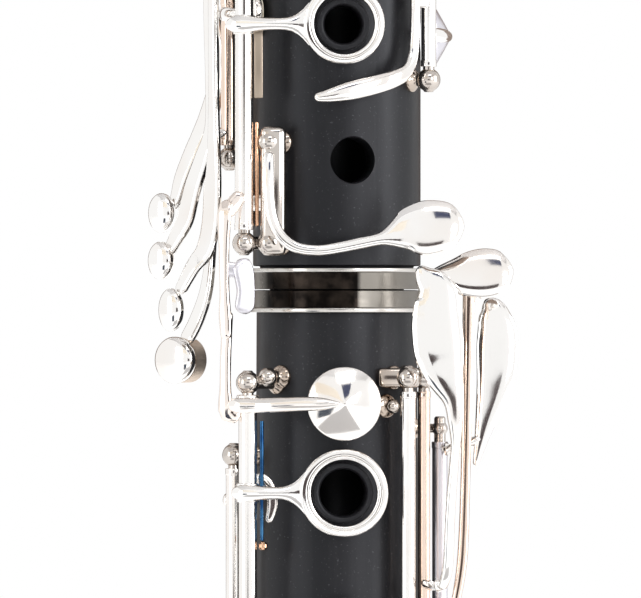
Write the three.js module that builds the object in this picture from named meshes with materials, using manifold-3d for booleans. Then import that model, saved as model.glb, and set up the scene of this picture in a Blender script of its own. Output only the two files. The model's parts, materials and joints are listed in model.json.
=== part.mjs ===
// A seventeen-key, six-ring clarinet, standing on its bell.
// Millimetres. +Z runs up the bore from the bell rim to the mouthpiece tip, the tone holes face -Y,
// and an angle is counted from the front (-Y) towards +X.
import * as THREE from 'three';
import { mergeVertices } from 'three/addons/utils/BufferGeometryUtils.js';
import Module from 'manifold-3d';

const wasm = await Module();
wasm.setup();

// ---------------------------------------------------------------- driving dimensions
const GAP = 0.3; // clearance between pieces that touch
const BORE = 7.3; // radius of the cylindrical bore
const BODY_SIDES = 24;
const RING_SIDES = 20;
const BORE_SIDES = 12;
const POST_SIDES = 6;

const BELL_TOP = 106;
const JOINT_PLANE = 333;
const UPPER_TOP = 523;
const BARREL_TOP = 589;
const TIP = 662;

const UPPER_R = 14;
const LOWER_R_TOP = 13.4;
const LOWER_R_BOTTOM = 14.4;
const JOINT_RING_R = 14.2;
const BELL_RIM_R = 39.5;

const SOCKET_R = 11.5; // upper, middle and mouthpiece sockets
const BELL_SOCKET_R = 12.7;
const TENON_UPPER = 16.5;
const TENON_MIDDLE = 14.5;
const TENON_BELL = 22;
const TENON_MOUTHPIECE = 15.5;

const ROD_R = 1.0;
const TUBE_IN = 1.35;
const TUBE_OUT = 1.7;
const TUBE_SIDES = 6;
const BALL_R = 1.9;
const ROD_END = 1.6; // how far a rod runs past its end posts
const OVERCUT = 0.01; // how far a bore's cutter runs past the tube
const TUBE_END = 2.4; // from a post's middle to the end of the key tube beside it

const HOLE_LINE = 4; // angle of the line of finger holes
const RING_LIFT = 1.9; // how far an open ring stands above its chimney
const RING_T = 1.2;
const CHIMNEY = 1.6; // height of a ringed tone hole above the body

const SILVER = { color: 0xdcdad6, roughness: 0.16, metalness: 1 };
const NICKEL = { color: 0xb9b2aa, roughness: 0.24, metalness: 1 };
const STEEL = { color: 0x8f959c, roughness: 0.3, metalness: 1 };
const WOOD = { color: 0x17171a, roughness: 0.46, metalness: 0 };
const EBONITE = { color: 0x0c0c0e, roughness: 0.22, metalness: 0 };
const CORK = { color: 0xb98d5f, roughness: 0.9, metalness: 0 };
const CANE = { color: 0xd9bd7c, roughness: 0.6, metalness: 0 };

const rad = THREE.MathUtils.degToRad;
const group = new THREE.Group();

// ---------------------------------------------------------------- places and solids
const across = (deg) => new THREE.Vector3(Math.cos(rad(deg)), Math.sin(rad(deg)), 0);
const outward = (deg) => new THREE.Vector3(Math.sin(rad(deg)), -Math.cos(rad(deg)), 0);
const at = (deg, r, z) => outward(deg).multiplyScalar(r).setZ(z);
const shifted = (x, y) => new THREE.Matrix4().makeTranslation(x, y, 0);
const angleOf = (x, y) => THREE.MathUtils.radToDeg(Math.atan2(x, -y));

// A frame at a point: local X runs across, local Y up the bore and local Z out of the body.
function frameAt(deg, r, z) {
  const up = new THREE.Vector3(0, 0, 1);
  return new THREE.Matrix4().makeBasis(across(deg), up, outward(deg)).setPosition(at(deg, r, z));
}

function signedVolume(vertices, triangles) {
  const corner = (i) => new THREE.Vector3().fromArray(vertices, 3 * triangles[i]);
  let sum = 0;
  for (let i = 0; i < triangles.length; i += 3) {
    sum += corner(i).dot(corner(i + 1).cross(corner(i + 2)));
  }
  return sum;
}

// A closed geometry as a solid, with its faces turned outwards.
function solid(geometry, matrix = new THREE.Matrix4()) {
  const bare = geometry.index ? geometry.toNonIndexed() : geometry.clone();
  bare.deleteAttribute('normal');
  bare.deleteAttribute('uv');
  bare.applyMatrix4(matrix);
  const merged = mergeVertices(bare, 1e-4);
  const source = merged.index.array;
  const kept = [];
  for (let i = 0; i < source.length; i += 3) {
    const [a, b, c] = [source[i], source[i + 1], source[i + 2]];
    if (a !== b && b !== c && c !== a) kept.push(a, b, c);
  }
  const vertProperties = merged.attributes.position.array;
  if (signedVolume(vertProperties, kept) < 0) {
    for (let i = 0; i < kept.length; i += 3) {
      [kept[i + 1], kept[i + 2]] = [kept[i + 2], kept[i + 1]];
    }
  }
  const triVerts = new Uint32Array(kept);
  return new wasm.Manifold(new wasm.Mesh({ numProp: 3, vertProperties, triVerts }));
}

function joined(...pieces) {
  return pieces.reduce((whole, piece) => whole.add(piece));
}

// A profile of [radius, height] pairs turned about the bore axis.
function turned(profile, segments, matrix) {
  const points = profile.map(([r, z]) => new THREE.Vector2(r, z));
  return solid(new THREE.LatheGeometry(points, segments).rotateX(Math.PI / 2), matrix);
}

// A tube wall as a profile that closes on itself.
function ring(inner, outer, low, high, segments, matrix) {
  const profile = [[inner, low], [outer, low], [outer, high], [inner, high], [inner, low]];
  return turned(profile, segments, matrix);
}

function disc(r, low, high, segments, matrix) {
  return turned([[0, low], [r, low], [r, high], [0, high]], segments, matrix);
}

function block(x, y, z) {
  const box = new THREE.BoxGeometry(x[1] - x[0], y[1] - y[0], z[1] - z[0]);
  return solid(box.translate((x[0] + x[1]) / 2, (y[0] + y[1]) / 2, (z[0] + z[1]) / 2));
}

// A bar of rectangular section along a smooth path: wide out of the path's plane, thick within it.
function bent(points, wide, thick, steps = 6) {
  const path = new THREE.CatmullRomCurve3(points.map((p) => new THREE.Vector3(...p)), false, 'chordal');
  const section = new THREE.Shape();
  section.moveTo(-wide / 2, -thick / 2);
  section.lineTo(wide / 2, -thick / 2);
  section.lineTo(wide / 2, thick / 2);
  section.lineTo(-wide / 2, thick / 2);
  section.closePath();
  return solid(new THREE.ExtrudeGeometry(section, { extrudePath: path, steps, bevelEnabled: false }));
}

// A plate cut to an outline seen from the front: smooth through its [x, z] points.
function plate(outline, back, front, divisions = 20) {
  const curve = new THREE.SplineCurve(outline.map(([x, z]) => new THREE.Vector2(x, z)));
  const points = curve.getPoints(divisions);
  const shape = new THREE.Shape(points);
  const slab = new THREE.ExtrudeGeometry(shape, { depth: back - front, bevelEnabled: false });
  return solid(slab.rotateX(Math.PI / 2).translate(0, back, 0));
}

// An oval finger piece, turned so that its face looks out of the body.
function touch(deg, r, z, width, height, thick = 1.6) {
  const shape = frameAt(deg, r, z).multiply(new THREE.Matrix4().makeScale(width / 2, height / 2, 1));
  return disc(1, -thick / 2, thick / 2, 14, shape);
}

function add(name, piece, look) {
  const mesh = piece.getMesh();
  const geometry = new THREE.BufferGeometry();
  geometry.setAttribute('position', new THREE.BufferAttribute(new Float32Array(mesh.vertProperties), 3));
  geometry.setIndex(new THREE.BufferAttribute(new Uint32Array(mesh.triVerts), 1));
  geometry.computeVertexNormals();
  const node = new THREE.Mesh(geometry, new THREE.MeshStandardMaterial(look));
  node.name = name;
  group.add(node);
}

// ---------------------------------------------------------------- body of the instrument
const lowerRadius = (z) => THREE.MathUtils.mapLinear(z, BELL_TOP, JOINT_PLANE, LOWER_R_BOTTOM, LOWER_R_TOP);
const bodyRadius = (z) => (z > JOINT_PLANE ? UPPER_R : lowerRadius(z));

// A tone hole: a drill from the bore outwards, and for a ringed hole a chimney round it.
const hole = (deg, z, r, segments = 12) => disc(r, BORE - 1.5, UPPER_R + 4, segments, frameAt(deg, 0, z));
const chimney = (deg, z, r) => disc(r, UPPER_R - 3, bodyRadius(z) + CHIMNEY, 12, frameAt(deg, 0, z));

const LH1 = { z: 408, bore: 2.9, chimney: 4.3, ringIn: 4.8, ringOut: 6.4 };
const LH2 = { z: 376.7, bore: 3.15, chimney: 4.4, ringIn: 4.95, ringOut: 6.65 };
const LH3 = { z: 354.4, deg: 11, bore: 3.8 };
const THUMB = { z: 419, bore: 3.2, bush: 4.2, ringIn: 4.9, ringOut: 6.5 };
const RH = [300, 275.5, 251].map((z) => ({ z, bore: 3.87, chimney: 4.9, ringIn: 5.43, ringOut: 7.3 }));

const UPPER_PADS = [
  { deg: -72, z: 503 }, { deg: -59, z: 489 }, { deg: -46, z: 424 }, { deg: -70, z: 379 },
  { deg: 0, z: 493 }, { deg: 38, z: 486 }, { deg: 90, z: 375.3 }, { deg: -92, z: 347.4 },
  { deg: HOLE_LINE, z: 392.4 }, { deg: 150, z: 434 },
];
const LOWER_PADS = [
  { deg: HOLE_LINE, z: 314.2, r: 2.8 }, { deg: -106, z: 298, r: 2.6 }, { deg: 3, z: 231, r: 3.6 },
  { deg: -108, z: 197, r: 5 }, { deg: -105, z: 172, r: 5 }, { deg: -100, z: 150, r: 5.4 },
];

function upperJoint() {
  const top = UPPER_TOP + TENON_UPPER;
  const bottom = JOINT_PLANE + GAP - TENON_MIDDLE;
  const seat = JOINT_RING_R - 1.4;
  const tenon = SOCKET_R - GAP;
  const grooved = SOCKET_R - 1.9;
  let body = turned([
    [0, bottom], [tenon, bottom], [tenon, bottom + 2.5], [grooved, bottom + 2.5],
    [grooved, JOINT_PLANE - 2], [tenon, JOINT_PLANE - 2], [tenon, JOINT_PLANE + GAP],
    [seat, JOINT_PLANE + GAP], [seat, JOINT_PLANE + 4], [UPPER_R, JOINT_PLANE + 4], [UPPER_R, UPPER_TOP],
    [tenon, UPPER_TOP], [tenon, UPPER_TOP + 3], [grooved, UPPER_TOP + 3], [grooved, top - 3],
    [tenon, top - 3], [tenon, top], [0, top],
  ], BODY_SIDES);
  for (const { z, chimney: r } of [LH1, LH2]) body = body.add(chimney(HOLE_LINE, z, r));
  body = body.subtract(disc(BORE, bottom - 1, top + 1, BORE_SIDES));
  for (const { z, bore } of [LH1, LH2]) body = body.subtract(hole(HOLE_LINE, z, bore));
  body = body.subtract(hole(LH3.deg, LH3.z, LH3.bore));
  body = body.subtract(hole(180, THUMB.z, THUMB.bush + GAP));
  body = body.subtract(hole(180, 508, 2.4));
  for (const { deg, z } of UPPER_PADS) body = body.subtract(hole(deg, z, 2.4, 6));
  add('upper_joint', body, WOOD);

  const band = ring(seat + GAP, JOINT_RING_R, JOINT_PLANE + GAP, JOINT_PLANE + 3.6, RING_SIDES);
  add('upper_joint_ring', band, NICKEL);
  const groove = SOCKET_R - 1.6;
  add('upper_tenon_cork', ring(groove, SOCKET_R - GAP, UPPER_TOP + 3.3, top - 3.3, BODY_SIDES), CORK);
  add('middle_tenon_cork', ring(groove, SOCKET_R - GAP, bottom + 2.8, JOINT_PLANE - 2.3, BODY_SIDES), CORK);

  const bush = ring(THUMB.bore, THUMB.bush, BORE + 1, UPPER_R + CHIMNEY, 12, frameAt(180, 0, THUMB.z));
  add('thumb_bushing', bush, NICKEL);
  add('register_tube', ring(1.4, 2.0, 5.7, UPPER_R + 0.1, 10, frameAt(180, 0, 508)), NICKEL);
}

function lowerJoint() {
  const top = JOINT_PLANE;
  const seat = JOINT_RING_R - 1.5;
  const low = BELL_TOP - TENON_BELL;
  const grooveR = BELL_SOCKET_R - 1.9;
  const outer = [
    [BORE - 1, low + 1], [BORE - 1, low], [BELL_SOCKET_R - GAP, low], [BELL_SOCKET_R - GAP, low + 3],
    [grooveR, low + 3], [grooveR, BELL_TOP - 3], [BELL_SOCKET_R - GAP, BELL_TOP - 3],
    [BELL_SOCKET_R - GAP, BELL_TOP + GAP], [LOWER_R_BOTTOM, BELL_TOP + GAP], [LOWER_R_TOP, top - 3.6],
    [seat, top - 3.6], [seat, top], [BORE - 1, top], [BORE - 1, low + 1],
  ];
  let body = turned(outer, BODY_SIDES);
  for (const { z, chimney: r } of RH) body = body.add(chimney(HOLE_LINE, z, r));
  const bore = [
    [0, low - 1], [10.2, low - 1], [9, low + 40], [BORE, low + 110], [BORE, top + 1], [0, top + 1],
  ];
  body = body.subtract(turned(bore, BORE_SIDES));
  body = body.subtract(disc(SOCKET_R, top - TENON_MIDDLE, top + 1, BODY_SIDES));
  for (const { z, bore: r } of RH) body = body.subtract(hole(HOLE_LINE, z, r));
  for (const { deg, z, r } of LOWER_PADS) body = body.subtract(hole(deg, z, r, 6));
  add('lower_joint', body, WOOD);
  add('lower_joint_ring', ring(seat + GAP, JOINT_RING_R, top - 3.3, top, RING_SIDES), NICKEL);
  const cork = ring(grooveR + GAP, BELL_SOCKET_R - GAP, low + 3.3, BELL_TOP - 3.3, BODY_SIDES);
  add('bell_tenon_cork', cork, CORK);
}

function bell() {
  const low = BELL_TOP - TENON_BELL;
  const profile = [
    [12, low - GAP], [15.5, 60], [18.5, 45], [22.5, 30], [27.4, 18], [35.2, 3.3],
    [37.6, 3.3], [33, 11.5], [27.6, 23], [23, 36], [19.4, 52], [16.9, 76], [16.9, 97.7],
    [15.9, 97.7], [15.9, BELL_TOP], [BELL_SOCKET_R, BELL_TOP], [BELL_SOCKET_R, low - GAP],
    [12, low - GAP],
  ];
  add('bell', turned(profile, BODY_SIDES), WOOD);
  add('bell_socket_ring', ring(15.9 + GAP, 17.9, 98, BELL_TOP, RING_SIDES), NICKEL);
  const rim = [[35.2, 0], [BELL_RIM_R - 0.5, 0], [BELL_RIM_R, 1], [BELL_RIM_R, 3], [35.2, 3], [35.2, 0]];
  add('bell_rim_ring', turned(rim, BODY_SIDES), NICKEL);
}

function barrel() {
  const low = UPPER_TOP + GAP;
  const high = BARREL_TOP;
  const profile = [
    [BORE, low + TENON_UPPER + GAP], [SOCKET_R, low + TENON_UPPER + GAP], [SOCKET_R, low], [14.2, low],
    [14.2, low + 4.3], [15.8, low + 4.3], [17, low + 14], [16.6, high - 20], [15.3, high - 4.3],
    [14.2, high - 4.3], [14.2, high], [SOCKET_R, high], [SOCKET_R, high - TENON_MOUTHPIECE - GAP],
    [BORE, high - TENON_MOUTHPIECE - GAP], [BORE, low + TENON_UPPER + GAP],
  ];
  add('barrel', turned(profile, RING_SIDES), WOOD);
  add('barrel_lower_ring', ring(14.5, 16.2, low, low + 4, RING_SIDES), NICKEL);
  add('barrel_upper_ring', ring(14.5, 15.7, high - 4, high, RING_SIDES), NICKEL);
}

const TABLE_Y = 7.6; // the flat that the reed lies on
const LIG = { low: 600, high: 622, inner: 14.2, outer: 15 };

function mouthpiece() {
  const low = BARREL_TOP - TENON_MOUTHPIECE;
  const outer = [
    [0, low], [SOCKET_R - GAP, low], [SOCKET_R - GAP, low + 2], [SOCKET_R - 1.9, low + 2],
    [SOCKET_R - 1.9, BARREL_TOP - 2], [SOCKET_R - GAP, BARREL_TOP - 2], [SOCKET_R - GAP, BARREL_TOP + GAP],
    [14.6, BARREL_TOP + GAP], [14.6, BARREL_TOP + 3], [13.5, BARREL_TOP + 5], [12, TIP - 34], [10.6, TIP],
    [0, TIP],
  ];
  let body = turned(outer, RING_SIDES);
  body = body.subtract(disc(BORE, low - 1, TIP - 34, BORE_SIDES));
  body = body.subtract(block([-5.3, 5.3], [0, TABLE_Y + 2], [TIP - 40, TIP - 5]));
  body = body.subtract(block([-20, 20], [TABLE_Y, 20], [BARREL_TOP + 8, TIP + 1]));
  const beak = [[-14, TIP - 32], [-14, TIP + 2], [TABLE_Y - 0.9, TIP + 2], [TABLE_Y - 0.9, TIP - 0.4]];
  const wedge = new THREE.ExtrudeGeometry(new THREE.Shape(beak.map(([y, z]) => new THREE.Vector2(y, z))), {
    depth: 40,
    bevelEnabled: false,
  });
  const turn = new THREE.Matrix4().makeBasis(
    new THREE.Vector3(0, 1, 0), new THREE.Vector3(0, 0, 1), new THREE.Vector3(1, 0, 0),
  ).setPosition(-20, 0, 0);
  body = body.subtract(solid(wedge, turn));
  add('mouthpiece', body, EBONITE);
  const cork = ring(SOCKET_R - 1.6, SOCKET_R - GAP, low + 2.3, BARREL_TOP - 2.3, BODY_SIDES);
  add('mouthpiece_cork', cork, CORK);

  const heel = BARREL_TOP + 11;
  const side = [
    [TABLE_Y + GAP, heel], [TABLE_Y + 3, heel], [TABLE_Y + 3, TIP - 34], [TABLE_Y + 0.6, TIP - 1],
    [TABLE_Y + GAP, TIP - 1],
  ];
  const blank = new THREE.ExtrudeGeometry(new THREE.Shape(side.map(([y, z]) => new THREE.Vector2(y, z))), {
    depth: 12.6,
    bevelEnabled: false,
  });
  add('reed', solid(blank, turn.clone().setPosition(-6.3, 0, 0)), CANE);
}

const SCREWS = [606, 616];
const SCREW_Y = 18.2;

function ligature() {
  let band = ring(LIG.inner, LIG.outer, LIG.low, LIG.high, RING_SIDES);
  const lugs = joined(
    block([-4.6, -2.4], [LIG.inner, SCREW_Y + 2.4], [LIG.low + 2, LIG.high - 2]),
    block([2.4, 4.6], [LIG.inner, SCREW_Y + 2.4], [LIG.low + 2, LIG.high - 2]),
  );
  band = band.add(lugs).subtract(disc(LIG.inner, LIG.low - 1, LIG.high + 1, RING_SIDES));
  const alongX = (z) => frameAt(90, 0, z).setPosition(0, SCREW_Y, z);
  for (const z of SCREWS) band = band.subtract(disc(1.7, -8, 8, 10, alongX(z)));
  add('ligature', band, NICKEL);
  ['ligature_screw_lower', 'ligature_screw_upper'].forEach((name, i) => {
    const profile = [
      [0, -6.5], [1.3, -6.5], [1.3, 6.5], [3.4, 7], [3.8, 8], [3.8, 10.5], [3, 11.5], [0, 11.5],
    ];
    add(name, turned(profile, 12, alongX(SCREWS[i])), NICKEL);
  });
}

function thumbRest() {
  const r = bodyRadius(262) + 0.5;
  const side = [
    [r, 250], [r + 1.4, 250], [r + 1.4, 259.6], [r + 7, 258.6], [r + 12, 259.4], [r + 14.4, 261.4],
    [r + 13.6, 263], [r + 10.8, 261.4], [r + 6.6, 260.8], [r + 3, 262.6], [r + 1.4, 265], [r + 1.4, 274],
    [r, 274],
  ];
  const shape = new THREE.Shape(side.map(([y, z]) => new THREE.Vector2(y, z)));
  const slab = new THREE.ExtrudeGeometry(shape, { depth: 9, bevelEnabled: false });
  const turn = new THREE.Matrix4().makeBasis(
    new THREE.Vector3(0, 1, 0), new THREE.Vector3(0, 0, 1), new THREE.Vector3(1, 0, 0),
  ).setPosition(-4.5, 0, 0);
  add('thumb_rest', solid(slab, turn), NICKEL);
}

// ---------------------------------------------------------------- posts, rods and key tubes
// A post screwed into the body, with the ball that holds the rod at the given point.
function post(point) {
  const deg = angleOf(point.x, point.y);
  const base = bodyRadius(point.z) + GAP;
  const h = Math.hypot(point.x, point.y) - base;
  const profile = [
    [0, 0], [2, 0], [2, 0.7], [1.2, 1.2], [BALL_R, h - 0.9], [BALL_R, h + 0.7], [0.9, h + 1.7], [0, h + 1.7],
  ];
  return turned(profile, POST_SIDES, frameAt(deg, base, point.z));
}

// An upright rod at [x, y] with a post at each height.
function uprightHinge([x, y], heights, rodR = ROD_R) {
  const lowest = Math.min(...heights);
  const highest = Math.max(...heights);
  const rod = disc(rodR, lowest - ROD_END, highest + ROD_END, POST_SIDES, shifted(x, y));
  return joined(rod, ...heights.map((z) => post(new THREE.Vector3(x, y, z))));
}

// A rod lying across the body at an angle and height, between two posts.
function crossHinge(deg, r, z, half) {
  const ends = [-half, half].map((s) => at(deg, r, z).addScaledVector(across(deg), s));
  const lie = new THREE.Matrix4().makeBasis(
    outward(deg), new THREE.Vector3(0, 0, 1), across(deg).negate(),
  ).setPosition(at(deg, r, z));
  return joined(disc(ROD_R, -half - 1.5, half + 1.5, POST_SIDES, lie), ...ends.map(post));
}

function bored(piece, [x, y], low, high) {
  return piece.subtract(disc(TUBE_IN, low - OVERCUT, high + OVERCUT, TUBE_SIDES, shifted(x, y)));
}

// A key on an upright rod: its arms joined to the tube, then bored for the rod.
function uprightKey([x, y], low, high, ...arms) {
  const tube = disc(TUBE_OUT, low, high, TUBE_SIDES, new THREE.Matrix4().makeTranslation(x, y, 0));
  return bored(joined(tube, ...arms), [x, y], low, high);
}

function crossKey(deg, r, z, half, ...arms) {
  const lie = new THREE.Matrix4().makeBasis(
    outward(deg), new THREE.Vector3(0, 0, 1), across(deg).negate(),
  ).setPosition(at(deg, r, z));
  const tube = disc(TUBE_OUT, -half, half, TUBE_SIDES, lie);
  return joined(tube, ...arms).subtract(disc(TUBE_IN, -half - 0.01, half + 0.01, TUBE_SIDES, lie));
}

// A pad cup: a shallow cone with its face towards the body, `lift` above where it seats.
function cup(deg, z, r, lift = 0, height = 2.8) {
  const base = bodyRadius(z) + 0.5 + lift;
  const profile = [[0, 0], [r, 0], [r, 1.4], [0.4, height], [0, height]];
  return turned(profile, 12, frameAt(deg, base, z));
}

// A finger ring over a chimney, open by RING_LIFT.
function fingerRing(deg, { z, ringIn, ringOut }) {
  const base = bodyRadius(z) + CHIMNEY - RING_T + RING_LIFT;
  return ring(ringIn, ringOut, base, base + RING_T, 16, frameAt(deg, 0, z));
}

const point = (v) => [v.x, v.y, v.z];
const turnedKey = (piece, [x, y], deg) => (
  piece.translate([-x, -y, 0]).rotate([0, 0, deg]).translate([x, y, 0])
);

// ---------------------------------------------------------------- left-hand front keys
const LH_ROD = [-15.3, -13.5];
const LH_POSTS = [340.7, 397.5, 414];

function ringArm([x, y], deg, hole_, wide) {
  const top = bodyRadius(hole_.z) + CHIMNEY - RING_T / 2 + RING_LIFT;
  const end = at(deg, top, hole_.z);
  const reach = end.x - hole_.ringIn - 0.8;
  return bent([
    [x - 2.6, y - 1.9, hole_.z], [x + 1.5, y - 2.1, hole_.z], [(x + reach) / 2, -top + 0.1, hole_.z],
    [reach, -top + 0.1, hole_.z],
  ], wide, RING_T, 5);
}

function leftRingStack() {
  const [x, y] = LH_ROD;
  const upper = uprightKey(
    LH_ROD, LH_POSTS[1] + TUBE_END, LH_POSTS[2] - TUBE_END,
    ringArm(LH_ROD, HOLE_LINE, LH1, 3.6), fingerRing(HOLE_LINE, LH1),
  );
  add('lh1_ring_key', upper, SILVER);
  const padZ = UPPER_PADS[8].z;
  const pad = cup(HOLE_LINE, padZ, 4.3, 2);
  const padArm = bent([
    [x - 1, y - 1.8, padZ], [x + 3, y - 3, padZ], [-6, -18.4, padZ], [1, -18.9, padZ],
  ], 2.6, RING_T, 5);
  const bridge = block([x - 4.3, x - 2.3], [-16.6, -15.4], [324.5, 346.5]);
  const root = block([x - 4, x], [-16, -14.7], [343.6, 346.5]);
  const lower = uprightKey(
    LH_ROD, LH_POSTS[0] + TUBE_END, LH_POSTS[1] - TUBE_END,
    ringArm(LH_ROD, HOLE_LINE, LH2, 4.4), fingerRing(HOLE_LINE, LH2), pad, padArm, bridge, root,
  );
  add('lh2_ring_key', lower, SILVER);
}

const C_SHARP_ROD = [-11.2, -13.4];
const C_SHARP_POSTS = [340.7, 357.5];

function cSharp() {
  const deg = angleOf(...C_SHARP_ROD);
  const strap = ring(UPPER_R + GAP, UPPER_R + 1, 338.7, 359.6, BODY_SIDES);
  const cut = block([-12.4, -8.4], [-20, 0], [338, 361]);
  const hinges = joined(
    uprightHinge(LH_ROD, LH_POSTS), uprightHinge(C_SHARP_ROD, C_SHARP_POSTS), strap.intersect(cut),
  );
  add('lh_front_hinges', hinges, STEEL);
  const padZ = UPPER_PADS[7].z;
  const arm = bent([
    point(at(deg + 2, 17.2, padZ)), point(at(-54, 16.3, padZ)), point(at(-70, 16.6, padZ)),
    point(at(-88, 17, padZ)),
  ], 3, 1.2, 6);
  const root = block([-12.2, -10.2], [-17.5, -14], [343.4, 350]);
  const lever = plate([
    [-12.2, 350], [-11.9, 345.5], [-10.2, 341.6], [-6.6, 339.2], [-1, 338.6], [5, 339.2], [9.5, 338.8],
    [13.5, 338.4], [17.2, 339], [20.2, 341.2], [20.9, 344], [19.4, 346.8], [15.8, 347.8], [12.2, 347],
    [8.6, 343.8], [4.6, 341.4], [-1, 340.9], [-5.8, 341.6], [-8.7, 343.6], [-10, 346.6], [-10.2, 350],
    [-12.2, 350],
  ], -16.6, -18.2, 40);
  const key = uprightKey(
    C_SHARP_ROD, C_SHARP_POSTS[0] + TUBE_END, C_SHARP_POSTS[1] - TUBE_END,
    arm, cup(-92, padZ, 4.4), root, lever,
  );
  add('c_sharp_key', key, SILVER);
}

const E_FLAT_ROD = [15.2, -8.25];
const E_FLAT_POSTS = [367.8, 394.5];

function eFlatSliver() {
  add('e_flat_sliver_hinge', uprightHinge(E_FLAT_ROD, E_FLAT_POSTS), STEEL);
  const padZ = UPPER_PADS[6].z;
  const arm = bent([[15.6, -8.2, padZ], [17.4, -5, padZ], [18, -1, padZ]], 2.6, 1.2, 4);
  const slope = 0.28;
  const shear = new THREE.Matrix4().makeShear(0, slope, 0, 0, 0, 0);
  const low = 368.6 - slope * 11;
  const path = [[12.9, -10.4, 0], [11.9, -13.7, 0], [7.5, -17.3, 0], [1, -18.5, 0], [-3.6, -18.7, 0]];
  const sweep = new THREE.CatmullRomCurve3(path.map((p) => new THREE.Vector3(...p)));
  const section = new THREE.Shape([[-1.5, -0.7], [1.5, -0.7], [1.5, 0.7], [-1.5, 0.7]].map(
    ([a, b]) => new THREE.Vector2(a, b),
  ));
  const strip = new THREE.ExtrudeGeometry(section, { extrudePath: sweep, steps: 8, bevelEnabled: false });
  const lever = solid(strip, shear.premultiply(new THREE.Matrix4().makeTranslation(0, 0, low)));
  const stem = block([12.1, 13.8], [-11.2, -9.4], [368.2, 388]);
  const web = block([12.6, 15.2], [-10.2, -8.6], [380, 388]);
  const key = uprightKey(
    E_FLAT_ROD, E_FLAT_POSTS[0] + TUBE_END, E_FLAT_POSTS[1] - TUBE_END,
    arm, cup(90, padZ, 4.7, 0.9, 3.6), stem, web, lever,
  );
  add('e_flat_key', key, SILVER);
}

// ---------------------------------------------------------------- side keys of the right hand
const upright = (deg, r) => point(at(deg, r, 0)).slice(0, 2);
const TRILL_4_ROD = upright(-98, 18);
const TRILL_3_ROD = upright(-85, 18);
const SIDE_2_ROD = upright(-72, 18);
const SIDE_1_ROD = upright(-95, 18);

// A side lever: a cup arm at the pad, and a bar down to its finger piece.
function sideKey(name, rod, tube, pad, bar, lane, tip) {
  const rodDeg = angleOf(...rod);
  const arm = bent([
    point(at(rodDeg + 3, 19.2, pad.z)), point(at((rodDeg + pad.deg) / 2, 18.6, pad.z)),
    point(at(pad.deg - 2, 17.6, pad.z)),
  ], 2.6, 1.2, 4);
  const strip = bent(bar.map(([x, z]) => [x, lane, z]), 1.6, 1.8, 8);
  const oval = disc(1, -0.9, 0.9, 14, new THREE.Matrix4().makeBasis(
    new THREE.Vector3(tip.w / 2, 0, 0), new THREE.Vector3(0, 0, tip.h / 2), new THREE.Vector3(0, -1, 0),
  ).setPosition(tip.x, lane, tip.z));
  const root = block([Math.min(bar[0][0], rod[0]) - 0.9, rod[0]], [
    Math.min(lane, rod[1]) - 0.8, Math.max(lane, rod[1]) + 0.8,
  ], [bar[0][1] - 1.2, bar[0][1] + 1.8]);
  add(name, uprightKey(rod, tube[0], tube[1], arm, cup(pad.deg, pad.z, pad.r), strip, root, oval), SILVER);
}

function sideKeys() {
  const trill = joined(
    uprightHinge(TRILL_4_ROD, [390.5, 507.5]), uprightHinge(TRILL_3_ROD, [390.5, 493.5]),
    ring(UPPER_R + GAP, UPPER_R + 1, 389, 392, BODY_SIDES)
      .intersect(block([-20, 0], [-1.8, 3.4], [388, 393])),
  );
  add('trill_hinge', trill, STEEL);
  add('side_f_sharp_hinge', uprightHinge(SIDE_2_ROD, [396.5, 431]), STEEL);
  add('side_e_flat_hinge', uprightHinge(SIDE_1_ROD, [355, 384]), STEEL);
  sideKey('trill_key_upper', TRILL_4_ROD, [392.9, 505.1], { ...UPPER_PADS[0], r: 4.2 }, [
    [-21.4, 396], [-21.4, 380], [-21.3, 371], [-22.8, 360], [-26.2, 349.5], [-28.4, 347],
  ], 3.5, { x: -29.7, z: 345.8, w: 4.6, h: 6.4 });
  sideKey('trill_key_lower', TRILL_3_ROD, [392.9, 491.1], { ...UPPER_PADS[1], r: 4.2 }, [
    [-20.9, 396], [-21, 380], [-20.8, 358], [-23, 343], [-25.6, 339.4], [-28, 338.4],
  ], -2.4, { x: -29.4, z: 337.9, w: 4.2, h: 6.2 });
  sideKey('side_f_sharp_key', SIDE_2_ROD, [398.9, 428.6], { ...UPPER_PADS[2], r: 4.3 }, [
    [-20.2, 402], [-20.6, 385], [-20.6, 362], [-21.4, 345], [-24, 334], [-26.4, 330.6],
  ], -7, { x: -27.6, z: 329.7, w: 4.4, h: 7 });
  sideKey('side_e_flat_key', SIDE_1_ROD, [357.4, 381.6], { ...UPPER_PADS[3], r: 4.1 }, [
    [-20.6, 361], [-20.8, 350], [-21.4, 336], [-23.6, 326], [-26, 322.6],
  ], 0.3, { x: -27.6, z: 321.5, w: 6.6, h: 6.8 });
}

// ---------------------------------------------------------------- throat, register and thumb keys
const THROAT_R = UPPER_R + 3.6;
const THROAT_A = { deg: 0, z: 476, half: 5 };
const THROAT_G = { deg: 38, z: 468, half: 4.6 };
const REGISTER = { deg: -168, z: 470, half: 4.6 };

// A lever along the body between a finger piece and a pad, on a rod lying across.
function leverKey({ deg, z, half }, tipZ, tipW, tipH, padZ, padDeg, padR) {
  const top = THROAT_R + 1.5;
  const middle = padDeg === deg ? deg : (padDeg + deg) / 2;
  const bar = bent([
    point(at(deg, top, tipZ)), point(at(deg, top + 0.3, z)), point(at(middle, top - 0.2, (z + padZ) / 2)),
    point(at(padDeg, 17.6, padZ)),
  ], 2.8, 1.3, 6);
  return crossKey(
    deg, THROAT_R, z, half - TUBE_END + 0.2, bar, touch(deg, top, tipZ, tipW, tipH, 1.5),
    cup(padDeg, padZ, padR),
  );
}

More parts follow.
